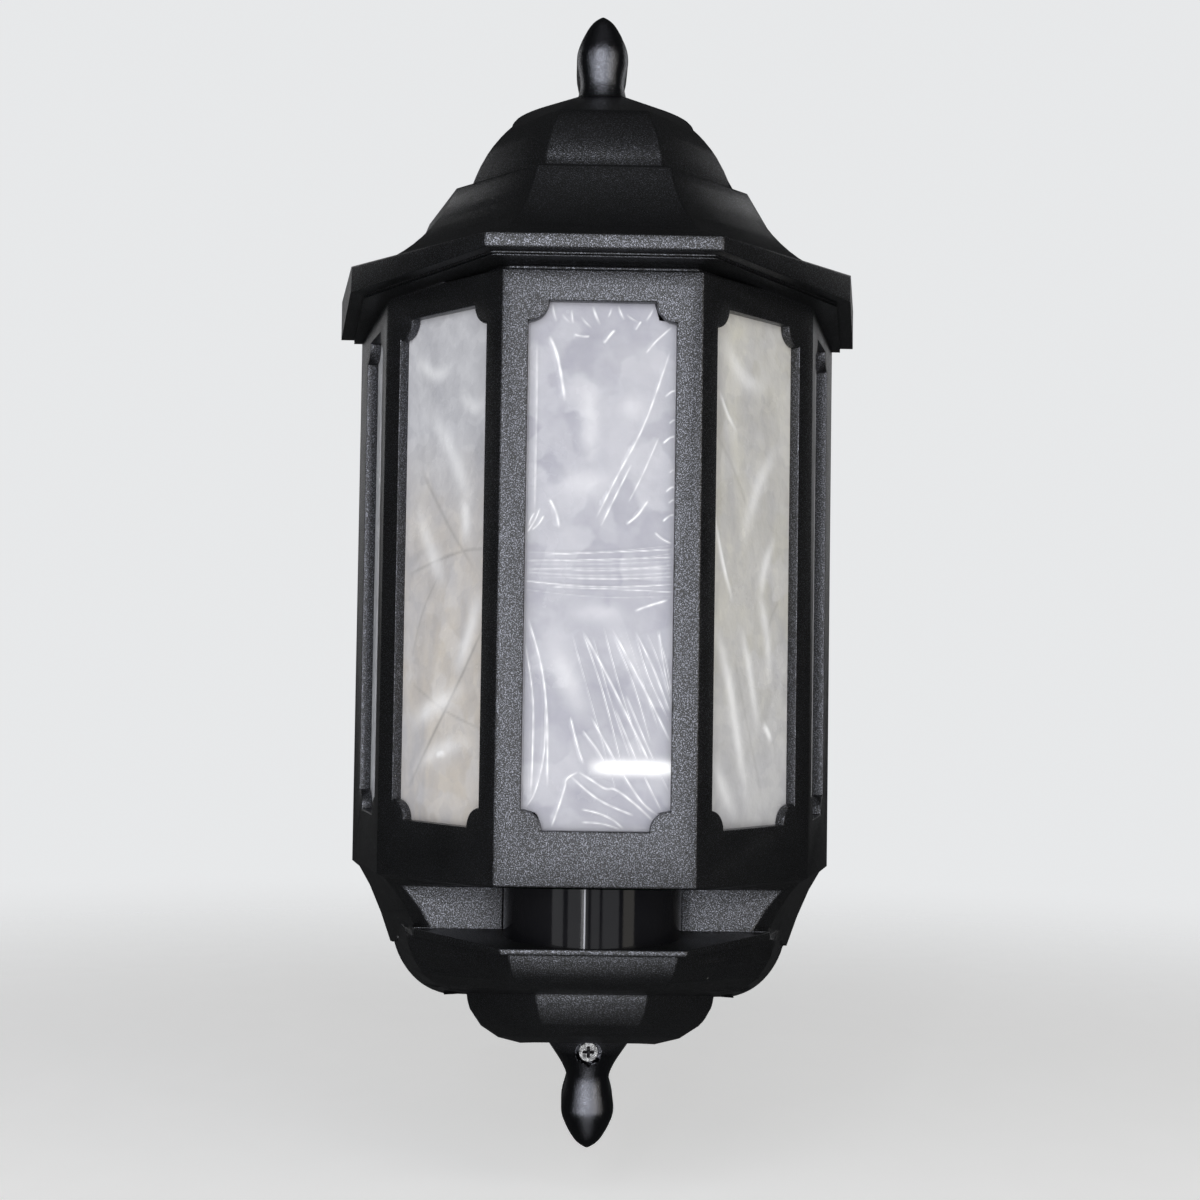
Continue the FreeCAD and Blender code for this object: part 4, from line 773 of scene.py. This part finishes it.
def fan_line(line):
    """Gain and points of one wrinkle of the fan."""
    begin = np.array([-7.5 + 3 * line, FAN_TOP + 1.5 * uneven(line, 2.7)])
    end = np.array([min(WINDOW_HALF, 6 + 2.3 * line), FAN_FOOT + 3.6 * line])
    knee = (1 - FAN_KNEE) * begin + FAN_KNEE * end + FAN_BOW * uneven(line, 1.9)
    gain = 0.35 + 0.35 * uneven(line, 1.3, power=2)
    return gain, [begin, knee, end]


def patchy(x, z):
    """Dims the painted highlights of the lines here and there, because they don't catch the light along
    their whole length.
    """
    return PATCH_MEAN + PATCH_SWING * np.sin(1.1 * x + 0.8 * z) * np.sin(0.55 * z - 0.9 * x + 1.3)


def front_film(spots):
    painted_highlight = np.zeros(len(spots))
    rise = np.zeros(len(spots))
    # Each stroke paints a highlight into the film's colour, and the rise along it is real relief.
    for width, gain, points in BRIGHT_FRONT:
        painted_highlight = np.maximum(painted_highlight, gain * stroke(spots, points, width))
        rise += CREASE_RISE * gain * stroke(spots, points, RISE_SPREAD * width)
    for x, z, lean, reach, gain in TOP_TICKS:
        mark = stroke(spots, top_tick(x, z, lean, reach), 0.13 + 0.05 * reach, fade=0.4)
        painted_highlight = np.maximum(painted_highlight, TOP_TICK_GAIN * gain * mark)
        rise += TICK_RISE * mark
    for z, reach, gain in RIGHT_EDGE_TICKS:
        mark = stroke(spots, right_edge_tick(z, reach), EDGE_TICK_WIDTH)
        painted_highlight = np.maximum(painted_highlight, gain * mark)
        rise += TICK_RISE * mark
    for line in range(BAND_LINES):
        width, gain, points = band_line(line)
        painted_highlight = np.maximum(painted_highlight, gain * stroke(spots, points, width, BAND_FADE))
        rise += BAND_RISE * stroke(spots, points, RISE_SPREAD * width, BAND_FADE)
    for line in range(FAN_LINES):
        gain, points = fan_line(line)
        mark = stroke(spots, points, FAN_WIDTH)
        painted_highlight = np.maximum(painted_highlight, gain * mark)
        rise += FAN_RISE * mark
    x, z = spots.T
    painted_highlight *= patchy(x, z)
    for width, gain, points in SOFT_FRONT:
        mark = stroke(spots, points, width, fade=0.4)
        painted_highlight = np.maximum(painted_highlight, SOFT_GAIN * gain * mark)
        rise += TICK_RISE * mark
    # The glare is a painted reflection: a soft bright band across the foot of the pane.
    across = np.clip((x - GLARE_FROM) / GLARE_FADE_IN, 0, 1) * np.clip((GLARE_TO - x) / GLARE_FADE_OUT, 0, 1)
    glare = across * np.exp(-((z - GLARE_LEVEL) / GLARE_HALF) ** 2)
    painted_highlight = np.maximum(painted_highlight, GLARE_GAIN * glare)
    return rise, painted_highlight, np.zeros(len(spots)), np.zeros(len(spots))


print("band lines:", BAND_LINES, "fan lines:", FAN_LINES)

# %% [markdown]
# The diagonal panes are seen at a slant, so their film shows as soft pearly folds, painted as soft
# highlights. On the left one two creases of painted shade cross. On the right one the painted highlights of
# the folds are pale and steep, over three faint creases of painted shade. The side panes are nearly edge on
# and only get a few long folds painted as highlights, and one crease of painted shade.

# %% Diagonal and side films
# Width, gain and points
LEFT_DARK = [
    (0.5, 0.5, [(20, -14), (6, -34), (-8, -52), (-18, -66)]),
    (0.45, 0.35, [(-20, -2), (-6, 2), (10, 5), (20, 4.5)]),
    (0.4, 0.28, [(-18, -33), (0, -42), (20, -47)]),
    (0.4, 0.25, [(-17, -28), (-12, -12), (-2, 0)]),
    (0.6, 0.3, [(-14, 30), (0, 12), (14, -2)]),
]
LEFT_SOFT = [
    (2.6, 0.5, [(16, -6), (12, -18), (4, -32)]),
    (3.0, 0.45, [(-12, 48), (2, 34), (12, 14)]),
    (2.2, 0.45, [(-18, 64), (-8, 56), (2, 58)]),
    (2.4, 0.4, [(4, 52), (12, 44), (18, 48)]),
    (3.0, 0.5, [(-18, -46), (-4, -40), (10, -34)]),
    (2.4, 0.4, [(-16, -60), (-2, -52), (14, -50)]),
    (1.2, 0.7, [(-5, -55), (-1, -53.5), (2, -54)]),
    (2.8, 0.4, [(-16, 20), (-10, 8), (0, -8)]),
    (2.2, 0.5, [(6, 22), (9, 14), (8, 6)]),
]
RIGHT_SOFT = [
    (0.7, 0.8, [(-18, 18), (-13, 2), (-7, -10)]),
    (0.6, 0.7, [(-16, 52), (-11, 44), (-6, 40)]),
    (2.0, 0.55, [(-18, -12), (-10, -28), (-4, -50), (2, -70)]),
    (1.6, 0.5, [(-4, -14), (2, -30), (6, -48)]),
    (2.4, 0.4, [(16, 40), (4, 26), (-4, 6)]),
    (1.8, 0.45, [(4, -2), (10, -16), (12, -34)]),
    (2.6, 0.4, [(-14, 66), (-2, 54), (10, 56)]),
    (1.8, 0.5, [(14, 12), (8, 2), (6, -10)]),
    (1.0, 0.8, [(8, -44), (11, -46.5), (13, -50)]),
    (2.2, 0.4, [(-16, -52), (-12, -62), (-4, -72)]),
]
RIGHT_DARK = [
    (0.5, 0.2, [(18, -6), (12, -12), (8, -24)]),
    (0.6, 0.2, [(-18, 40), (-8, 30), (2, 14)]),
    (0.5, 0.16, [(-8, -20), (0, -44), (10, -70)]),
]
SIDE_SOFT = [
    (1.6, 0.5, [(-12, 60), (-6, 20), (-10, -30)]),
    (1.8, 0.45, [(8, 50), (4, 10), (9, -40)]),
    (1.4, 0.5, [(-4, -20), (2, -45), (-6, -66)]),
]
SIDE_DARK = [
    (0.6, 0.3, [(-14, 30), (0, 0), (12, -50)]),
]
FOLD_RISE = 0.22
FOLD_DIP = 0.1
FRONT_STEP = 0.3
DIAGONAL_STEP = 0.5
SIDE_STEP = 0.7


def soft_film(spots, pale_strokes, dark_strokes, warm_from, warm_to, warm_gain):
    painted_highlight = np.zeros(len(spots))
    painted_shade = np.zeros(len(spots))
    rise = np.zeros(len(spots))
    # The pale strokes paint soft highlights on the folds, and the rise along them is real relief.
    for width, gain, points in pale_strokes:
        mark = stroke(spots, points, width, fade=0.35)
        painted_highlight = np.maximum(painted_highlight, gain * mark)
        rise += FOLD_RISE * gain * mark
    # The dark strokes paint shade into the folds, and the dip beside them is real relief.
    for width, gain, points in dark_strokes:
        painted_shade = np.maximum(painted_shade, gain * stroke(spots, points, width, fade=0.2))
        rise -= FOLD_DIP * gain * stroke(spots, points, 2 * width)
    warm = warm_gain * np.clip((spots[:, 1] - warm_from) / (warm_to - warm_from), 0, 1)
    return rise, painted_highlight, painted_shade, warm


def left_film(spots):
    return soft_film(spots, LEFT_SOFT, LEFT_DARK, warm_from=40, warm_to=-5, warm_gain=0.85)


def right_film(spots):
    return soft_film(spots, RIGHT_SOFT, RIGHT_DARK, warm_from=-75, warm_to=-10, warm_gain=0.7)


def side_film(spots):
    return soft_film(spots, SIDE_SOFT, SIDE_DARK, warm_from=90, warm_to=80, warm_gain=0)


FILMS = {
    "front_pane": (FRONT_STEP, front_film),
    "left_diagonal_pane": (DIAGONAL_STEP, left_film),
    "right_diagonal_pane": (DIAGONAL_STEP, right_film),
    "left_side_pane": (SIDE_STEP, side_film),
    "right_side_pane": (SIDE_STEP, side_film),
}
print("films:", ", ".join(FILMS))

# %% [markdown]
# A pane is modelled from a flat grid as large as its solid. The grid is laid on the front of the solid,
# raised by the strokes inside the window only, so that its border still lies flat against the frame, and
# then its rim is drawn back by the pane's thickness and closed.

# %% Panes
PANE_OVERLAP = 3.0
FLAT_BORDER = 0.02
BORDER_BLEND = 1.5
FILM_SMOOTH_ANGLE = math.radians(50)
FACET_AXIS = Vector((0, -0.037, 0))


def pane_frame(node):
    """Middle of the pane's front, its directions to the right, up and out, and its three sizes."""
    mesh = nodes[node].data
    areas = np.empty(len(mesh.polygons))
    normals = np.empty(3 * len(mesh.polygons))
    mesh.polygons.foreach_get("area", areas)
    mesh.polygons.foreach_get("normal", normals)
    normals = normals.reshape(-1, 3)
    out = Vector(normals[np.argmax(areas)])
    out.z = 0
    out.normalize()
    places = np.empty(3 * len(mesh.vertices))
    mesh.vertices.foreach_get("co", places)
    places = places.reshape(-1, 3)
    if out.dot(Vector(places.mean(axis=0)) - FACET_AXIS) < 0:
        out.negate()
    up = Vector((0, 0, 1))
    right = up.cross(out)
    lows = []
    highs = []
    for direction in (right, up, out):
        along = places @ np.array(direction)
        lows.append(along.min())
        highs.append(along.max())
    middle = right * (lows[0] + highs[0]) / 2 + up * (lows[1] + highs[1]) / 2 + out * highs[2]
    return middle, right, up, out, [high - low for low, high in zip(lows, highs)]


def filmed_pane(node, step, film):
    middle, right, up, out, (width, height, thick) = pane_frame(node)
    columns = round(width / MM / step)
    rows = round(height / MM / step)
    bpy.ops.object.select_all(action="DESELECT")
    bpy.ops.mesh.primitive_grid_add(x_subdivisions=columns, y_subdivisions=rows, size=1)
    pane = bpy.context.active_object
    pane.name = node + "_film"
    mesh = pane.data
    flat = np.empty(3 * len(mesh.vertices))
    mesh.vertices.foreach_get("co", flat)
    spots = flat.reshape(-1, 3)[:, :2] * np.array([width, height]) / MM
    rise, painted_highlight, painted_shade, warm = film(spots)
    window = np.array([width, height]) / MM / 2 - PANE_OVERLAP
    inside = np.clip((window - np.abs(spots)) / BORDER_BLEND, 0, 1).prod(axis=1)
    lift = (rise * inside - FLAT_BORDER * (1 - inside)) * MM
    places = (np.array(middle) + spots[:, :1] * MM * np.array(right) + spots[:, 1:] * MM * np.array(up)
              + lift[:, None] * np.array(out))
    mesh.vertices.foreach_set("co", places.ravel())
    mesh.update()
    # The first value is painted highlight, the second painted shade, the third a warm tint.
    for label, values in (("film_painted_highlight", painted_highlight), ("film_painted_shade", painted_shade), ("film_warm", warm)):
        mark = mesh.attributes.new(label, "FLOAT", "POINT")
        mark.data.foreach_set("value", values.astype(np.float32))
    bpy.ops.object.mode_set(mode="EDIT")
    bpy.ops.mesh.select_mode(type="EDGE")
    bpy.ops.mesh.select_all(action="DESELECT")
    bpy.ops.mesh.select_non_manifold()
    back = -out * (thick - FLAT_BORDER * MM)
    bpy.ops.mesh.extrude_edges_move(TRANSFORM_OT_translate={"value": back})
    bpy.ops.mesh.edge_face_add()
    bpy.ops.mesh.select_all(action="SELECT")
    bpy.ops.mesh.normals_make_consistent(inside=False)
    bpy.ops.object.mode_set(mode="OBJECT")
    bpy.ops.object.shade_smooth_by_angle(angle=FILM_SMOOTH_ANGLE)
    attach(pane, "lantern")
    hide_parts(node)
    return pane


film_panes = {node: filmed_pane(node, step, film) for node, (step, film) in FILMS.items()}
for node, pane in film_panes.items():
    print(node, "faces:", len(pane.data.polygons))

# %% [markdown]
# The film's finish starts from a cool and a warm grey, clouded at two sizes like mother of pearl and broken
# into facets. The values that the strokes left on the pane warm it, paint shade into its folds and paint
# highlights on its creases.

# %% Film finish
WISP_SCALE = 2.7
FACET_SCALE = 2.4
CREASE_SCALE = 5.5


def mark_of(tree, label):
    node = tree.nodes.new("ShaderNodeAttribute")
    node.attribute_name = label
    return node.outputs["Fac"]


def film_finish(name, cool, warm, cloud_size, cloud_depth, stretch, lean):
    material = bpy.data.materials.new(name)
    material.use_nodes = True
    tree = material.node_tree
    link = tree.links.new
    shader = tree.nodes["Principled BSDF"]
    shader.inputs["Specular IOR Level"].default_value = 0.35
    shader.inputs["Coat Weight"].default_value = 0.1
    shader.inputs["Coat Roughness"].default_value = 0.12
    place = tree.nodes.new("ShaderNodeTexCoord")
    slant = tree.nodes.new("ShaderNodeMapping")
    slant.inputs["Rotation"].default_value = (0, math.radians(lean), 0)
    slant.inputs["Scale"].default_value = (1, 1, stretch)
    cloud = tree.nodes.new("ShaderNodeTexNoise")
    cloud.inputs["Scale"].default_value = cloud_size
    cloud.inputs["Detail"].default_value = 4
    cloud.inputs["Distortion"].default_value = 1.2
    link(place.outputs["Object"], slant.inputs["Vector"])
    link(slant.outputs["Vector"], cloud.inputs["Vector"])
    level = ranged(tree, cloud.outputs["Fac"], 0.3, 0.7, 0, cloud_depth)
    blend = tree.nodes.new("ShaderNodeMix")
    blend.data_type = "RGBA"
    blend.inputs["A"].default_value = (*cool, 1)
    blend.inputs["B"].default_value = (*warm, 1)
    link(mark_of(tree, "film_warm"), blend.inputs["Factor"])
    colour = tint_over(tree, blend.outputs["Result"], level, (0.33, 0.33, 0.36))
    wisp = effect(tree, DRIFT, Scale=cloud_size * WISP_SCALE, Low=0.0, High=0.25)
    colour = tint_over(tree, colour, wisp.outputs["Value"], (0.6, 0.6, 0.62))
    facets = effect(tree, CRUMPLE, Scale=cloud_size * FACET_SCALE, Low=0.0, High=0.28)
    colour = tint_over(tree, colour, facets.outputs["Value"], (0.72, 0.72, 0.74))
    creases = effect(tree, CRUMPLE, Scale=cloud_size * CREASE_SCALE, Low=0.0, High=0.22)
    colour = tint_over(tree, colour, creases.outputs["Value"], (0.32, 0.32, 0.35))
    # Painted shade in the dark folds.
    colour = tint_over(tree, colour, mark_of(tree, "film_painted_shade"), (0.2, 0.19, 0.18))
    # Painted highlights on the creases, ticks, folds and glare.
    colour = tint_over(tree, colour, mark_of(tree, "film_painted_highlight"), (1.0, 1.0, 1.0))
    link(colour, shader.inputs["Base Color"])
    gloss = effect(tree, DRIFT, Scale=90, Low=0.16, High=0.3)
    link(gloss.outputs["Value"], shader.inputs["Roughness"])
    ripple = effect(tree, DRIFT, Scale=170, Low=0.0, High=1.0)
    relief = tree.nodes.new("ShaderNodeBump")
    relief.inputs["Strength"].default_value = 0.25
    relief.inputs["Distance"].default_value = 0.0006
    link(ripple.outputs["Value"], relief.inputs["Height"])
    link(relief.outputs["Normal"], shader.inputs["Normal"])
    return material


front_finish = film_finish("front_film", (0.27, 0.27, 0.32), (0.3, 0.28, 0.26), 38, 0.4, 0.55, 0)
left_finish = film_finish("left_film", (0.57, 0.57, 0.59), (0.66, 0.58, 0.46), 46, 0.75, 0.5, 28)
right_finish = film_finish("right_film", (0.58, 0.58, 0.57), (0.64, 0.61, 0.49), 46, 0.7, 0.4, -18)
side_finish = film_finish("side_film", (0.84, 0.86, 0.88), (0.84, 0.84, 0.84), 40, 0.5, 0.4, 10)
dress(film_panes["front_pane"], front_finish)
dress(film_panes["left_diagonal_pane"], left_finish)
dress(film_panes["right_diagonal_pane"], right_finish)
dress(film_panes["left_side_pane"], side_finish)
dress(film_panes["right_side_pane"], side_finish)
print("film finishes:", front_finish.name, left_finish.name, right_finish.name, side_finish.name)

# %% [markdown]
# The sensor's lens is a glossy black half drum. A fine pale line runs down it, a little left of the
# middle.

# %% Lens
PALE_LINE_AT = -2.6 * MM
PALE_LINE_HALF = 0.12 * MM
PALE_LINE_EDGE = 0.3 * MM
PALE_LINE_WHITE = 0.75

lens_finish = finish("sensor_black", (0.004, 0.004, 0.005), (0.008, 0.008, 0.009), (0.06, 0.1), bump=0.01)
lens_tree = lens_finish.node_tree
lens_shader = lens_tree.nodes["Principled BSDF"]
lens_shader.inputs["Specular IOR Level"].default_value = 0.12
pale_line_gap = worked_out(lens_tree, "SUBTRACT", object_axis(lens_tree, "X"), PALE_LINE_AT)
pale_line_gap = worked_out(lens_tree, "ABSOLUTE", pale_line_gap)
pale_line = ranged(lens_tree, pale_line_gap, PALE_LINE_HALF, PALE_LINE_EDGE, PALE_LINE_WHITE, 0)
lens_colour = lens_shader.inputs["Base Color"].links[0].from_socket
lens_colour = tint_over(lens_tree, lens_colour, pale_line, (0.45, 0.45, 0.48))
lens_tree.links.new(lens_colour, lens_shader.inputs["Base Color"])
print("lens seam at", PALE_LINE_AT)

# %% [markdown]
# The rest is inside: the back plate with its cable clamp and terminal block, the lampholder with its
# lamp, and the sensor's circuit board. Each gets its own tones, gloss and grain from the helper.

# %% Other finishes
steel_finish = finish("bright_screw", (0.11, 0.11, 0.11), (0.18, 0.18, 0.178), (0.16, 0.26), bump=0.03,
                      metallic=1.0)
plate_finish = finish("plate_black", (0.014, 0.014, 0.014), (0.022, 0.022, 0.022), (0.45, 0.6), bump=0.3,
                      grain=1700)
rubber_finish = finish("grommet_rubber", (0.02, 0.02, 0.02), (0.035, 0.035, 0.035), (0.6, 0.75), bump=0.1)
white_finish = finish("terminal_white", (0.68, 0.68, 0.64), (0.76, 0.76, 0.73), (0.35, 0.5), bump=0.05)
zinc_finish = finish("zinc_sheet", (0.5, 0.51, 0.52), (0.66, 0.67, 0.68), (0.3, 0.45), bump=0.08,
                     metallic=1.0)
holder_finish = finish("holder_cream", (0.68, 0.66, 0.6), (0.75, 0.73, 0.68), (0.22, 0.34), bump=0.03)
opal_finish = finish("lamp_opal", (0.82, 0.82, 0.8), (0.88, 0.88, 0.86), (0.35, 0.5), bump=0.02)
brass_finish = finish("terminal_brass", (0.6, 0.44, 0.2), (0.75, 0.58, 0.3), (0.25, 0.4), bump=0.05,
                      metallic=1.0)
board_finish = finish("board_green", (0.04, 0.14, 0.06), (0.07, 0.2, 0.09), (0.35, 0.5), bump=0.08)
relay_finish = finish("relay_blue", (0.02, 0.05, 0.16), (0.03, 0.075, 0.2), (0.35, 0.5), bump=0.05)
sleeve_finish = finish("capacitor_sleeve", (0.01, 0.014, 0.04), (0.018, 0.022, 0.06), (0.2, 0.3), bump=0.03)
knob_finish = finish("knob_amber", (0.6, 0.3, 0.04), (0.7, 0.38, 0.06), (0.35, 0.5), bump=0.05)

FINISHES = {
    "pane": front_finish, "lens": lens_finish, "bright_steel": steel_finish, "black_plate": plate_finish,
    "grommet": rubber_finish, "white_moulding": white_finish, "zinc_sheet": zinc_finish,
    "holder": holder_finish, "lamp": opal_finish, "brass": brass_finish, "board": board_finish,
    "relay": relay_finish, "capacitor": sleeve_finish, "knob": knob_finish, "black_moulding": black_moulding,
}
for part in frame["record"]["subparts"]:
    dress(nodes[part["node"]], FINISHES[part["material_slot"]])
print("finishes:", len(FINISHES))

# %% [markdown]
# The fixing screw faces the camera. Its cross is only a few pixels wide, so the finish paints shade that
# deepens with the depth below the face of the head, which darkens the cross and the rim of the head.

# %% Fixing screw
CROSS_FROM = 0.3 * MM
CROSS_TO = 0.7 * MM

screw = nodes["body_fixing_screw"]
screw_face = min(corner.co.y for corner in screw.data.vertices)
screw_finish = finish("fixing_screw", (0.02, 0.02, 0.02), (0.34, 0.34, 0.335), (0.14, 0.3), grain=1400,
                      bump=0.35, metallic=1.0, drift=700)
screw_tree = screw_finish.node_tree
screw_shader = screw_tree.nodes["Principled BSDF"]
# Painted shade: the colour goes nearly black where the head lies deeper than its face.
recess_shade = ranged(screw_tree, object_axis(screw_tree, "Y"), screw_face + CROSS_FROM, screw_face + CROSS_TO)
screw_colour = screw_shader.inputs["Base Color"].links[0].from_socket
screw_colour = tint_over(screw_tree, screw_colour, recess_shade, (0.012, 0.012, 0.012))
screw_tree.links.new(screw_colour, screw_shader.inputs["Base Color"])
dress(screw, screw_finish)
print("screw face at", round(screw_face, 4))
